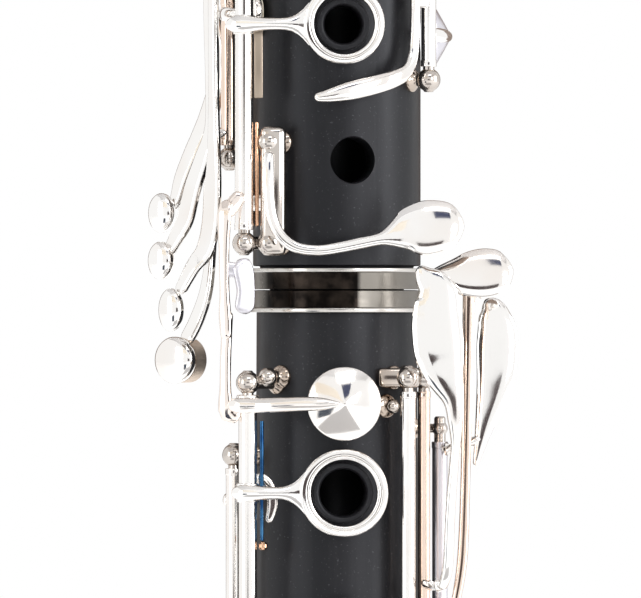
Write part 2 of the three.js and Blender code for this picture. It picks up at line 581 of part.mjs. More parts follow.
function throatKeys() {
  add('throat_a_hinge', crossHinge(THROAT_A.deg, THROAT_R, THROAT_A.z, THROAT_A.half), STEEL);
  add('throat_a_key', leverKey(THROAT_A, 457, 6.4, 16, 493, 0, 4.7), SILVER);
  add('throat_g_sharp_hinge', crossHinge(THROAT_G.deg, THROAT_R, THROAT_G.z, THROAT_G.half), STEEL);
  add('throat_g_sharp_key', leverKey(THROAT_G, 452, 6, 11, 486, 38, 4.4), SILVER);
  add('register_hinge', crossHinge(REGISTER.deg, THROAT_R, REGISTER.z, REGISTER.half), STEEL);
  add('register_key', leverKey(REGISTER, 437, 6.4, 12, 508, -180, 4.2), SILVER);
}

const THUMB_ROD = [13.2, 13.2];
const THUMB_POSTS = [409, 441];

function thumbRing() {
  add('thumb_ring_hinge', uprightHinge(THUMB_ROD, THUMB_POSTS), STEEL);
  const top = UPPER_R + CHIMNEY - RING_T / 2 + RING_LIFT;
  const arm = bent([
    [14, 14.8, THUMB.z], [11, 16.4, THUMB.z], [8, top, THUMB.z], [5.6, top, THUMB.z],
  ], 4, RING_T, 5);
  const pad = UPPER_PADS[9];
  const padArm = bent([[13.4, 14.7, pad.z], [12, 16.6, pad.z], [9.6, 17.6, pad.z]], 2.6, 1.2, 4);
  const key = uprightKey(
    THUMB_ROD, THUMB_POSTS[0] + TUBE_END, THUMB_POSTS[1] - TUBE_END,
    arm, fingerRing(180, THUMB), padArm, cup(pad.deg, pad.z, 3.9, 1.2),
  );
  add('thumb_ring_key', key, SILVER);
}

// ---------------------------------------------------------------- right-hand stack
const RH_ROD = [-14.7, -13.5];
const RH_POSTS = [243, 317.7];

function rightRingStack() {
  add('rh_ring_hinge', uprightHinge(RH_ROD, RH_POSTS), STEEL);
  const [x, y] = RH_ROD;
  const padZ = LOWER_PADS[0].z;
  const padArm = bent([
    [x - 1, y - 2, 313.4], [x + 3, y - 3.2, 313.6], [-6, -18.8, 314.2], [1, -19.4, 314.2],
  ], 2.4, RING_T, 5);
  const tab = block([x - 4.7, x - 2.5], [-14.4, -13.2], [311.5, 329.5]);
  const root = block([x - 4.7, x], [-14.4, -12.8], [311.5, 314.6]);
  const parts = RH.flatMap((h) => [ringArm(RH_ROD, HOLE_LINE, h, 5), fingerRing(HOLE_LINE, h)]);
  const key = uprightKey(
    RH_ROD, RH_POSTS[0] + TUBE_END, RH_POSTS[1] - TUBE_END,
    ...parts, cup(HOLE_LINE, padZ, 6.1, 2.1, 3.4), padArm, tab, root,
  );
  add('rh_ring_key', key, SILVER);
  const needle = disc(0.4, 291.5, 311.4, 8, new THREE.Matrix4().makeTranslation(-11.6, -13.4, 0));
  add('rh_ring_needle_spring', needle, STEEL);
}

const B_ROD = upright(-80, 17.4);
const B_POSTS = [263, 305.5];

function bSliver() {
  add('b_sliver_hinge', uprightHinge(B_ROD, B_POSTS), STEEL);
  const pad = LOWER_PADS[1];
  const padArm = bent([
    point(at(-82, 18.4, pad.z)), point(at(-92, 17.8, pad.z)), point(at(-102, 16.8, pad.z)),
  ], 2.4, 1.2, 3);
  const z = 267.2;
  const lever = bent([
    point(at(-78, 18.4, z)), point(at(-62, 16.3, z)), point(at(-47, 16.1, z)), point(at(-27, 17.2, z - 3)),
    point(at(-8, 17.5, z - 4)), point(at(8, 17.5, z - 4)),
  ], 2.6, 1.2, 10);
  const key = uprightKey(
    B_ROD, B_POSTS[0] + TUBE_END, B_POSTS[1] - TUBE_END, padArm, cup(pad.deg, pad.z, 3.9), lever,
  );
  add('b_natural_key', key, SILVER);
}

// ---------------------------------------------------------------- right little finger
const OPEN = 8; // degrees that an open-standing little-finger key stands away from its hole
const E_ROD = upright(-36, 18.4);
const F_SHARP_ROD = upright(-50, 18.4);
const F_ROD = upright(-64, 18.4);
const EAR_Z = { e: 203, fSharp: 213.5, f: 220.6 };
const EAR_Y = -18.9; // where the ears lie at rest
const FOOT_Y = -17.3; // where the levers' feet lie at rest

// An open-standing little-finger key, drawn closed and then swung open.
function pinkyKey(name, rod, tube, pad, padR, touchAt, earZ, side) {
  const deg = angleOf(...rod);
  const arm = bent([
    point(at(deg - 3, 19.4, pad.z)), point(at((deg * 2 + pad.deg) / 3, 18.4, pad.z)),
    point(at((deg + pad.deg * 2) / 3, 18.2, pad.z)), point(at(pad.deg + 4, 17.6, pad.z)),
  ], 3, 1.3, 7);
  const [x, y] = rod;
  const reach = bent([
    [x, y - 1.9, touchAt.z], [x - 4, y - 2.1, touchAt.z], [touchAt.x + 2, touchAt.y, touchAt.z],
  ], 3, 1.3, 5);
  const face = new THREE.Matrix4().makeBasis(
    new THREE.Vector3(touchAt.w / 2, 0, 0),
    new THREE.Vector3(0, 0, touchAt.h / 2),
    new THREE.Vector3(0, -1, 0),
  ).setPosition(touchAt.x, touchAt.y, touchAt.z);
  const oval = disc(1, -0.9, 0.9, 14, face);
  const earX = 0.5;
  const earY = EAR_Y - (earX - x) * Math.sin(rad(OPEN));
  const ear = bent([
    [x, y - 1, earZ], ...side.map(([a, b]) => [a, b, earZ]), [earX - 4, earY + 0.1, earZ], [earX, earY, earZ],
  ], 2.6, 1.2, 8);
  const key = uprightKey(rod, tube[0], tube[1], arm, cup(pad.deg, pad.z, padR), reach, oval, ear);
  add(name, turnedKey(key, rod, OPEN), SILVER);
}

function littleFingerKeys() {
  add('pinky_hinge_front', uprightHinge(E_ROD, [143.5, 208, 237.5]), STEEL);
  const top = 232;
  const strap = ring(bodyRadius(top) + GAP, bodyRadius(top) + 1, top - 1.5, top + 1.5, BODY_SIDES)
    .intersect(block([-16, -9.5], [-12, -4], [top - 2, top + 2]));
  const pair = joined(uprightHinge(F_SHARP_ROD, [162.5, top]), uprightHinge(F_ROD, [182.5, top]), strap);
  add('pinky_hinge_side', pair, STEEL);
  pinkyKey(
    'e_key', E_ROD, [145.9, 205.6], LOWER_PADS[5], 8.2,
    { x: -28, y: -15.5, z: 203, w: 8, h: 6.4 }, EAR_Z.e, [[-7.5, -18.6]],
  );
  pinkyKey(
    'f_sharp_key', F_SHARP_ROD, [164.9, 229.6], LOWER_PADS[4], 7.4,
    { x: -28.4, y: -12.5, z: 212, w: 8, h: 6.4 }, EAR_Z.fSharp, [[-14.6, -15.5], [-12.4, -18.8]],
  );
  pinkyKey(
    'f_key', F_ROD, [184.9, 229.6], LOWER_PADS[3], 7.4,
    { x: -28, y: -9.2, z: 221, w: 8, h: 6.4 }, EAR_Z.f, [[-17.9, -12.5], [-16.2, -16.6], [-11.5, -20.2]],
  );
  const [x, y] = E_ROD;
  const pad = LOWER_PADS[2];
  const padArm = bent([
    [x - 0.5, y - 1.9, pad.z], [x + 3, -17.4, pad.z], [-2, -17, pad.z], [1, -16.7, pad.z],
  ], 2.8, 1.2, 5);
  const reach = bent([[x, y - 1.9, 230], [x - 5, y - 2.2, 230], [-24, -15.5, 230]], 3, 1.3, 5);
  const face = new THREE.Matrix4().makeBasis(
    new THREE.Vector3(4.2, 0, 0), new THREE.Vector3(0, 0, 3.2), new THREE.Vector3(0, -1, 0),
  ).setPosition(-26.4, -15.4, 230);
  const key = uprightKey(
    E_ROD, 210.4, 235.1, padArm, cup(pad.deg, pad.z, 5.4), reach, disc(1, -0.9, 0.9, 14, face),
  );
  add('a_flat_key', key, SILVER);
}

// ---------------------------------------------------------------- left little finger levers
const L1_ROD = [11.7, -12.3];
const L2_ROD = [14.4, -9.6];
const L3_ROD = [17.1, -5.6];

// The foot of a lever: an arm over the front that lies under the ear of its key.
function foot([x, y], z, over) {
  const lane = over === 0 ? [] : [[14.6, -13.6, z], [11.4, -16, z]];
  const start = over === 2 ? [[x + 0.6, y - 1.5, z], [17.6, -9.6, z]] : [[x, y - 1.6, z]];
  return bent([...start, ...lane, [7, FOOT_Y, z], [2, FOOT_Y, z], [-0.5, FOOT_Y, z]], 2.6, 1.2, 8);
}

function leftLevers() {
  const straps = [318.5, 199].map((z) => (
    ring(bodyRadius(z) + GAP, bodyRadius(z) + 1, z - 1.6, z + 1.6, BODY_SIDES)
      .intersect(block([7, 14], [-13, -6.5], [z - 2, z + 2]))
  ));
  const pair = joined(uprightHinge(L1_ROD, [199, 318.5]), uprightHinge(L2_ROD, [199, 318.5], 0.9), ...straps);
  add('left_lever_hinge_front', pair, STEEL);
  add('left_lever_hinge_side', uprightHinge(L3_ROD, [216.5, 310]), STEEL);

  const tearTouch = plate([
    [20.6, 331], [21, 334], [17, 334.6], [15.6, 336.4], [17.7, 338.2], [21.4, 339.6], [25.6, 339.9],
    [28.6, 338.4], [28.6, 335.6], [26.2, 332.6], [23, 331.4], [22.9, 331], [20.6, 331],
  ], -11.5, -12.9, 30);
  const tearStem = bent([
    [21.9, -12.2, 332], [21.8, -12.2, 318], [21.4, -12.2, 300], [21, -12.2, 286], [19.8, -12.4, 278.5],
  ], 1.4, 1.8, 8);
  const tearRoot = bent([[12.2, -14, 279], [16, -14.2, 279], [20.2, -12.6, 279]], 3, 1.3, 4);
  const key1 = uprightKey(L1_ROD, 203.4, 316, tearTouch, tearStem, tearRoot, foot(L1_ROD, EAR_Z.e, 0));
  add('left_e_lever', key1, SILVER);

  const leaf = plate([
    [18.4, 306.8], [16.4, 310.4], [14.8, 318.6], [13, 322], [12.4, 327], [12.8, 331.4], [12.9, 334.6],
    [14.6, 336.8], [17.4, 334.6], [19.4, 331.8], [20.6, 327], [20.9, 319], [20.6, 312], [20.1, 306.8],
    [18.4, 306.8],
  ], -14.3, -15.7, 30);
  const leafStem = bent([
    [19.2, -15, 308.5], [18.8, -15, 300], [18, -14.6, 290], [16.4, -12.6, 284.5],
  ], 1.4, 1.6, 6);
  const leafRoot = block([13.4, 17], [-13.2, -10.6], [282.8, 286]);
  const key2 = uprightKey(L2_ROD, 203.4, 316, leaf, leafStem, leafRoot, foot(L2_ROD, EAR_Z.fSharp, 1));
  add('left_f_sharp_lever', key2, SILVER);

  const outer = plate([
    [23.2, 303.8], [23.6, 316], [23.8, 326], [25.8, 331], [28.4, 330], [30, 325.6], [29.8, 319],
    [28.4, 312.4], [25.6, 307], [23.2, 303.8],
  ], -8.6, -10, 24);
  const outerRoot = bent([[17.4, -7.2, 307], [20, -8.6, 307], [24.6, -9.3, 307.6]], 3, 1.3, 4);
  const key3 = uprightKey(L3_ROD, 218.9, 307.6, outer, outerRoot, foot(L3_ROD, EAR_Z.f, 2));
  add('left_f_lever', key3, SILVER);
}

upperJoint();
lowerJoint();
bell();
barrel();
mouthpiece();
ligature();
thumbRest();
leftRingStack();
cSharp();
eFlatSliver();
sideKeys();
throatKeys();
thumbRing();
rightRingStack();
bSliver();
littleFingerKeys();
leftLevers();

export default group;
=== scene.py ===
"""A seventeen-key clarinet standing on its bell, with its bright silver keywork, in a plain white studio.

Shapes are worked in millimetres and brought to metres as each piece is finished. Angles go round the
bore from the front (-Y) towards +X, and Z runs up the bore.
"""
import json
from math import atan2, cos, degrees, hypot, pi, radians, sin

import bmesh
import bpy
from mathutils import Matrix, Vector


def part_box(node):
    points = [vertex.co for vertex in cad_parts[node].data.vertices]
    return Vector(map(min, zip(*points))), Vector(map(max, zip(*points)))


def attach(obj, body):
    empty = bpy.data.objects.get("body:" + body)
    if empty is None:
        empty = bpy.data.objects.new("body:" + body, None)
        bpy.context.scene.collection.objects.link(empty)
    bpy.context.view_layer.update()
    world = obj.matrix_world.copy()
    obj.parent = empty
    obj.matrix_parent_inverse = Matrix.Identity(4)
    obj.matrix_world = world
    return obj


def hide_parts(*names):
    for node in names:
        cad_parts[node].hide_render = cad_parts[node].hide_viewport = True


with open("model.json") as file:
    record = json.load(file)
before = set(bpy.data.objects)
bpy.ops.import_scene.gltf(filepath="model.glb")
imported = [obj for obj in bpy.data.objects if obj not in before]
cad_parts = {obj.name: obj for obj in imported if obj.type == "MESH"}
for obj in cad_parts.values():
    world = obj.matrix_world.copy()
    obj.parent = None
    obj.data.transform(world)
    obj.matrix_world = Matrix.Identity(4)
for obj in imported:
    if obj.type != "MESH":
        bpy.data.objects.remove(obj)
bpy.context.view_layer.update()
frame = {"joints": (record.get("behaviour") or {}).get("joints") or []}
MM = 0.001
JOINTS = {j["name"]: j for j in frame["joints"]}

# ------------------------------------------------------------------ places


def outward(deg):
    """Straight out of the body at an angle round the bore."""
    return Vector((sin(radians(deg)), -cos(radians(deg)), 0))


def across(deg):
    return Vector((cos(radians(deg)), sin(radians(deg)), 0))


def at(deg, r, z):
    return outward(deg) * r + Vector((0, 0, z))


def basis(x, y, z, where):
    """The place with these three directions as its axes."""
    rows = [(x[k], y[k], z[k], where[k]) for k in range(3)]
    return Matrix((*rows, (0, 0, 0, 1)))


def facing(deg, point):
    """A place at a point: X across, Y up the bore, Z straight out."""
    return basis(across(deg), Vector((0, 0, 1)), outward(deg), point)


def standing(deg, r, z):
    return facing(deg, at(deg, r, z))


def lying(y, z):
    """A place with its Z along X, for what lies across the reed."""
    return basis(Vector((0, 1, 0)), Vector((0, 0, 1)), Vector((1, 0, 0)), Vector((0, y, z)))


def lifted(x, y, z=0):
    return Matrix.Translation((x, y, z))


def rod_of(key):
    """Where a key's rod stands, taken from its joint."""
    x, y, _ = JOINTS[key + "_turn"]["pos_m"]
    return x / MM, y / MM


def angle_of(x, y):
    return degrees(atan2(x, -y))


def low_of(node):
    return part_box(node)[0].z / MM


def high_of(node):
    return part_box(node)[1].z / MM


JOINT_PLANE = low_of("upper_joint_ring") - 0.3
BELL_TOP = high_of("bell")
BARREL_FOOT = low_of("barrel")
BARREL_TOP = high_of("barrel")
TIP = high_of("mouthpiece")
UPPER_R = 14.0
LOWER_TOP_R, LOWER_FOOT_R = 13.4, 14.4
BORE_R = 7.3
TENON_R, CORK_SEAT_R = 11.2, 9.6
PAD_HOLE = 2.4  # the radius of a hole under a small pad
CHIMNEY_H = 1.6  # how far a ringed hole's lip stands out of the wood
RING_OUT = 2.3  # a rest ring's underside above the wood
HOLE_LINE = 4  # degrees from the front to the line of ringed holes


def body_radius(z):
    """The wood's radius: the upper joint is straight, the lower one widens towards the bell."""
    if z > JOINT_PLANE:
        return UPPER_R
    share = (z - BELL_TOP) / (JOINT_PLANE - BELL_TOP)
    return LOWER_FOOT_R + (LOWER_TOP_R - LOWER_FOOT_R) * share


# ------------------------------------------------------------------ shapes

CORNER_CUTS = 3  # short lines that make one rounded corner of a profile
BAR_SIDES = 20
SHARP = 34  # degrees past which an edge is not shaded smooth
DRILLED_SHARP = 28


def sealed(bm, place=None):
    """Merge doubled vertices, turn the faces outwards, and move the shape to its place."""
    bmesh.ops.remove_doubles(bm, verts=bm.verts, dist=1e-4)
    bmesh.ops.recalc_face_normals(bm, faces=bm.faces)
    if place is not None:
        bmesh.ops.transform(bm, matrix=place, verts=bm.verts)
        if place.determinant() < 0:
            bmesh.ops.reverse_faces(bm, faces=bm.faces)
    return bm


def eased(profile, radius=0.25):
    """The same outline with its corners rounded; an outline that ends where it starts is closed."""
    points = [Vector(p) for p in profile]
    closed = (points[0] - points[-1]).length < 1e-6
    if closed:
        points = points[:-1]
    count, made = len(points), []
    for i, corner in enumerate(points):
        if not closed and i in (0, count - 1):
            made.append(corner)
            continue
        before, after = points[i - 1] - corner, points[(i + 1) % count] - corner
        reach = min(radius, before.length * 0.45, after.length * 0.45)
        a, b = corner + before.normalized() * reach, corner + after.normalized() * reach
        for k in range(CORNER_CUTS + 1):
            t = k / CORNER_CUTS
            made.append(a * (1 - t) ** 2 + corner * 2 * t * (1 - t) + b * t * t)
    if closed:
        made.append(made[0])
    return [tuple(p) for p in made]


def turned(profile, place=None, steps=40):
    """A profile of (radius, height) pairs turned about the place's Z."""
    bm = bmesh.new()
    verts = [bm.verts.new((r, 0, h)) for r, h in profile]
    edges = [bm.edges.new(pair) for pair in zip(verts, verts[1:])]
    bmesh.ops.spin(bm, geom=verts + edges, cent=(0, 0, 0), axis=(0, 0, 1), angle=2 * pi, steps=steps,
                   use_merge=True)
    return sealed(bm, place)


def disc(r, low, high, place=None, steps=40, edge=0.2):
    return turned(eased([(0, low), (r, low), (r, high), (0, high)], edge), place, steps)


def hoop(inner, outer, low, high, place=None, steps=64, edge=0.25):
    return turned(eased([(inner, low), (outer, low), (outer, high), (inner, high), (inner, low)], edge),
                  place, steps)


def curve_through(rows, per=8):
    """A smooth run of points through rows of numbers."""
    rows = [Vector(r) for r in rows]
    ends = [rows[0] * 2 - rows[1], *rows, rows[-1] * 2 - rows[-2]]
    made = []
    for a, b, c, d in zip(ends, ends[1:], ends[2:], ends[3:]):
        for k in range(per):
            t = k / per
            made.append((b * 2 + (c - a) * t + (a * 2 - b * 5 + c * 4 - d) * t * t
                         + (b * 3 - a - c * 3 + d) * t ** 3) * 0.5)
    return [*made, rows[-1]]


def forged(rows, face=None, power=2.6, tips=(True, True), back=1.0, pitch=0.9):
    """A forged bar through rows of x, y, z, width, thickness: its faces look along `face`, or out of the
    body. `power` makes its section rounder (2) or squarer, `back` thins the side away from the face."""
    run = curve_through(rows)
    spots = [Vector(p[:3]) for p in run]
    reach = [0.0]
    for p, q in zip(spots, spots[1:]):
        reach.append(reach[-1] + (q - p).length)
    total = reach[-1]

    def sample(s):
        i = max(k for k in range(len(reach) - 1) if reach[k] <= s + 1e-9)
        t = (s - reach[i]) / max(reach[i + 1] - reach[i], 1e-9)
        return run[i].lerp(run[i + 1], min(max(t, 0), 1))

    caps = []
    for end, rounded in ((0.0, tips[0]), (total, tips[1])):
        half = min(max(sample(end)[3] / 2, 0.15), total * 0.3)
        if rounded:
            turns = [radians(a) for a in range(0, 91, 15)]
            caps.append([(half * (1 - cos(a)), max(sin(a), 0.04)) for a in turns])
        else:
            caps.append([(0.0, 0.82), (0.12, 0.96), (0.3, 1.0)])
    first, last = caps[0][-1][0], total - caps[1][-1][0]
    count = max(2, int((last - first) / pitch))
    stations = [*caps[0], *[(first + (last - first) * k / count, 1.0) for k in range(1, count)],
                *[(total - s, f) for s, f in reversed(caps[1])]]

    def place_at(s, scale):
        row = sample(s)
        ahead, behind = sample(min(s + 0.3, total)), sample(max(s - 0.3, 0))
        along = (Vector(ahead[:3]) - Vector(behind[:3])).normalized()
        where = Vector(row[:3])
        look = Vector(face) if face else Vector((where.x, where.y, 0)).normalized()
        side = along.cross(look).normalized()
        look = side.cross(along)
        return basis(side * (row[3] / 2 * scale), look * (row[4] / 2 * scale), along * 0.5, where)

    bm = bmesh.new()
    bmesh.ops.create_circle(bm, segments=BAR_SIDES, radius=1.0, cap_ends=False)
    for v in bm.verts:
        c, s = v.co.x, v.co.y
        v.co.x = abs(c) ** (2 / power) * (1 if c > 0 else -1)
        v.co.y = abs(s) ** (2 / power) * (1 if s > 0 else -back)
    ring = list(bm.edges)
    placed = place_at(*stations[0])
    bmesh.ops.transform(bm, matrix=placed, verts=bm.verts)
    bmesh.ops.contextual_create(bm, geom=ring)
    for station in stations[1:]:
        made = bmesh.ops.extrude_edge_only(bm, edges=ring)["geom"]
        ring = [e for e in made if isinstance(e, bmesh.types.BMEdge)]
        verts = [v for v in made if isinstance(v, bmesh.types.BMVert)]
        goal = place_at(*station)
        bmesh.ops.transform(bm, matrix=goal @ placed.inverted(), verts=verts)
        ring = [e for e in ring if e.verts[0] in verts and e.verts[1] in verts]
        placed = goal
    bmesh.ops.contextual_create(bm, geom=ring)
    return sealed(bm)


def sliced(bm, point, normal, clear="clear_outer"):
    """Cut a closed shape with a plane, drop one side of it, and close the cut."""
    bmesh.ops.bisect_plane(bm, geom=[*bm.verts, *bm.edges, *bm.faces], plane_co=point, plane_no=normal,
                           **{clear: True})
    bmesh.ops.holes_fill(bm, edges=[e for e in bm.edges if e.is_boundary], sides=0)


def moved(shapes, matrix):
    for bm in shapes:
        bmesh.ops.transform(bm, matrix=matrix, verts=bm.verts)
    return shapes


def slab(low, high, bevel=0.25):
    """A small block with its edges rounded."""
    bm = bmesh.new()
    size = [b - a for a, b in zip(low, high)]
    middle = [(a + b) / 2 for a, b in zip(low, high)]
    bmesh.ops.create_cube(bm, size=1.0, matrix=Matrix.Translation(middle) @ Matrix.Diagonal((*size, 1)))
    bmesh.ops.bevel(bm, geom=bm.edges, offset=bevel, offset_type="OFFSET", segments=3, profile=0.5,
                    affect="EDGES", material=-1)
    return sealed(bm)


def cut_strip(outline, low, high, bevel=0.2, place=None):
    """A plate cut to a closed outline of (x, y) pairs, `low` to `high` thick, with its edges rounded."""
    bm = bmesh.new()
    face = bm.faces.new([bm.verts.new((x, y, low)) for x, y in outline])
    made = bmesh.ops.extrude_face_region(bm, geom=[face])["geom"]
    verts = [v for v in made if isinstance(v, bmesh.types.BMVert)]
    bmesh.ops.translate(bm, vec=(0, 0, high - low), verts=verts)
    bmesh.ops.recalc_face_normals(bm, faces=bm.faces)
    bmesh.ops.bevel(bm, geom=[e for e in bm.edges if e.calc_face_angle(0) > 0.5], offset=bevel,
                    offset_type="OFFSET", segments=2, profile=0.5, affect="EDGES", material=-1)
    return sealed(bm, place)


def shaded(bm, sharp):
    for face in bm.faces:
        face.smooth = True
    for edge in bm.edges:
        edge.smooth = edge.calc_face_angle(0) < radians(sharp)


def into_mesh(name, shapes, sharp=SHARP):
    """Bring shapes to metres, as one object that is shaded smooth up to its sharp edges."""
    whole = bmesh.new()
    for bm in shapes:
        part = bpy.data.meshes.new("part")
        bm.to_mesh(part)
        bm.free()
        whole.from_mesh(part)
        bpy.data.meshes.remove(part)
    bmesh.ops.scale(whole, vec=(MM, MM, MM), verts=whole.verts)
    shaded(whole, sharp)
    mesh = bpy.data.meshes.new(name)
    whole.to_mesh(mesh)
    whole.free()
    thing = bpy.data.objects.new(name, mesh)
    bpy.context.scene.collection.objects.link(thing)
    return thing


def drilled(thing, cutters):
    """Drill the cutters out of a piece, and drop them."""
    tool = into_mesh(thing.name + "_drill", cutters)
    cut = thing.modifiers.new("drill", "BOOLEAN")
    cut.operation, cut.solver, cut.object = "DIFFERENCE", "EXACT", tool
    fresh = bpy.data.meshes.new_from_object(thing.evaluated_get(bpy.context.evaluated_depsgraph_get()))
    thing.modifiers.clear()
    thing.data = fresh
    bpy.data.objects.remove(tool)
    bm = bmesh.new()
    bm.from_mesh(fresh)
    shaded(bm, DRILLED_SHARP)
    bm.to_mesh(fresh)
    bm.free()
    return thing


def piece(name, shapes, finish, body, stands_for=(), drills=None, sharp=SHARP):
    """One visible piece: its finish, the body that it rides on, the nodes that it stands for."""
    thing = into_mesh(name, shapes, sharp)
    if drills:
        drilled(thing, drills)
    thing.data.materials.clear()
    thing.data.materials.append(finish)
    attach(thing, body)
    if stands_for:
        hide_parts(*stands_for)


# ------------------------------------------------------------------ finishes


class Signal:
    """A socket's value that can be used in plain arithmetic."""

    def __init__(self, tree, socket):
        self.tree, self.socket = tree, socket

    def math(self, operation, *others):
        node = self.tree.nodes.new("ShaderNodeMath")
        node.operation = operation
        for entry, value in zip(node.inputs, (self, *others)):
            if isinstance(value, Signal):
                self.tree.links.new(value.socket, entry)
            else:
                entry.default_value = value
        return Signal(self.tree, node.outputs[0])

    def flipped(self, operation, other):
        node = self.tree.nodes.new("ShaderNodeMath")
        node.operation = operation
        node.inputs[0].default_value = other
        self.tree.links.new(self.socket, node.inputs[1])
        return Signal(self.tree, node.outputs[0])

    def __add__(self, other):
        return self.math("ADD", other)

    def __sub__(self, other):
        return self.math("SUBTRACT", other)

    def __mul__(self, other):
        return self.math("MULTIPLY", other)

    def __truediv__(self, other):
        return self.math("DIVIDE", other)

    def __pow__(self, other):
        return self.math("POWER", other)

    __radd__, __rmul__ = __add__, __mul__

    def __rsub__(self, other):
        return self.flipped("SUBTRACT", other)

    def clamped(self):
        node = self.math("ADD", 0.0)
        node.socket.node.use_clamp = True
        return node


class Finish:
    """One material, with short ways to add the nodes that it is built from."""

    def __init__(self, name, **fixed):
        self.material = bpy.data.materials.new(name)
        self.material.use_nodes = True
        self.tree = self.material.node_tree
        self.shader = self.tree.nodes["Principled BSDF"]
        self.feed(self.shader, fixed)
        self.place = self.node("ShaderNodeTexCoord").outputs["Object"]

    def feed(self, node, values):
        for key, value in values.items():
            socket = node.inputs[key if isinstance(key, int) else key.replace("_", " ")]
            if isinstance(value, Signal):
                value = value.socket
            if isinstance(value, bpy.types.NodeSocket):
                self.tree.links.new(value, socket)
            else:
                socket.default_value = value

    def node(self, kind, settings=None, values=None):
        made = self.tree.nodes.new(kind)
        for key, value in (settings or {}).items():
            if key == "stops":
                ramp = made.color_ramp
                while len(ramp.elements) < len(value):
                    ramp.elements.new(0.5)
                for element, (spot, colour) in zip(ramp.elements, value):
                    element.position, element.color = spot, colour
            else:
                setattr(made, key, value)
        self.feed(made, values or {})
        return made

    def signal(self, socket):
        return Signal(self.tree, socket)

    def stretched(self, scale):
        return self.node("ShaderNodeMapping", values={"Vector": self.place, "Scale": scale}).outputs[0]

    def noise(self, scale, detail=3.0, rough=0.5, stretch=None):
        spot = self.stretched(stretch) if stretch else self.place
        made = self.node("ShaderNodeTexNoise", values={
            "Vector": spot, "Scale": scale, "Detail": detail, "Roughness": rough})
        return self.signal(made.outputs[0])

    def between(self, value, low, high, to_low=0.0, to_high=1.0):
        made = self.node("ShaderNodeMapRange", {"clamp": True}, {
            "Value": value, "From Min": low, "From Max": high, "To Min": to_low, "To Max": to_high})
        return self.signal(made.outputs[0])

    def blend(self, share, first, second):
        made = self.node("ShaderNodeMix", {"data_type": "RGBA"}, {0: share, 6: first, 7: second})
        return made.outputs[2]

    def bumps(self, height, strength, distance):
        made = self.node("ShaderNodeBump", values={"Height": height, "Strength": strength,
                                                   "Distance": distance})
        self.feed(self.shader, {"Normal": made.outputs[0]})

    def parts(self):
        made = self.node("ShaderNodeSeparateXYZ", values={"Vector": self.place})
        return [self.signal(s) for s in made.outputs]

    def radius(self):
        x, y, _ = self.parts()
        return (x * x + y * y).math("SQRT")


def rgb(r, g, b):
    return (r, g, b, 1.0)


def grenadilla_finish():
    f = Finish("oiled_grenadilla", IOR=1.45, Specular_IOR_Level=0.34, Specular_Tint=rgb(0.92, 0.94, 1.0))
    grain = f.noise(420, 5, 0.6, (1, 1, 0.06))
    streak = f.noise(90, 3, 0.55, (1, 1, 0.035))
    dust = f.between(f.noise(2600, 2, 0.5), 0.66, 0.74)
    tone = f.blend(f.between(streak, 0.38, 0.68), rgb(0.0045, 0.0047, 0.0058), rgb(0.0100, 0.0096, 0.0112))
    tone = f.blend(f.between(grain, 0.55, 0.8, 0, 0.6), tone, rgb(0.016, 0.0155, 0.0175))
    f.feed(f.shader, {"Base_Color": f.blend(dust * 0.10, tone, rgb(0.35, 0.35, 0.38)),
                      "Roughness": f.between(grain, 0.3, 0.75, 0.34, 0.46)})
    f.bumps(grain * 0.7 + streak * 0.3, 0.25, 0.00012)
    return f.material


def silver_finish(name, bright, warm, shelter, low=0.05, high=0.13):
    """Polished plate: warmer and darker close to the bore, warm random smudges, and faint wiping marks."""
    f = Finish(name, Metallic=1.0)
    wipe = f.noise(260, 4, 0.6, (1, 1, 0.3))
    cloud = f.noise(70, 3, 0.5)
    deep = f.between(f.radius() + cloud * 0.0022, shelter[0], shelter[1], 1.0, 0.0)
    smudge = f.between(cloud, 0.45, 0.75)
    tone = f.blend(deep * 0.8, f.blend(smudge * 0.35, bright, warm), warm)
    f.feed(f.shader, {"Base_Color": tone, "Roughness": f.between(wipe + cloud * 0.5, 0.45, 1.0, low, high)})
    f.bumps(f.noise(1400, 3, 0.6, (1, 1, 0.12)), 0.04, 0.00004)
    return f.material


def joint_ring_finish():
    """Turned nickel silver: a painted dark reflection across the front, painted pale highlight lines at its
    chamfered rims, and its own paler tone elsewhere.
    """
    f = Finish("joint_ring_with_painted_reflection", Metallic=1.0)
    x, y, _ = f.parts()
    wander = f.noise(160, 3, 0.6) * 0.0006
    # painted reflection: a band across the front of the ring is painted near black
    dark = f.between(x + wander, 0.0036, 0.0044, 1.0, 0.0) * f.between(y, -0.004, 0.003, 1.0, 0.0)
    dark = dark * f.between(x + wander, -0.0128, -0.0110)
    turned_marks = f.noise(900, 2, 0.5, (0.05, 0.05, 1))
    cloud = f.noise(240, 3, 0.6)
    black = f.blend(f.between(cloud, 0.4, 0.7), rgb(0.006, 0.005, 0.0045), rgb(0.035, 0.027, 0.022))
    tone = f.blend(dark, rgb(0.21, 0.195, 0.175), black)
    # painted highlight: pale lines at the chamfered rims
    rims = f.between(f.radius(), 0.01418, 0.01426)
    tone = f.blend(rims, tone, rgb(0.62, 0.60, 0.57))
    f.feed(f.shader,
           {"Base_Color": tone, "Roughness": f.between(turned_marks, 0.3, 0.7, 0.30, 0.42) - dark * 0.2})
    f.bumps(turned_marks, 0.12, 0.00005)
    return f.material


def blued_finish():
    f = Finish("heat_blued_wire", Metallic=1.0)
    band = f.noise(300, 2, 0.5, (0.2, 0.2, 1))
    tone = f.blend(f.between(band, 0.35, 0.65), rgb(0.012, 0.05, 0.14), rgb(0.05, 0.15, 0.29))
    f.feed(f.shader, {"Base_Color": tone, "Roughness": f.between(band, 0.3, 0.7, 0.18, 0.32)})
    return f.material


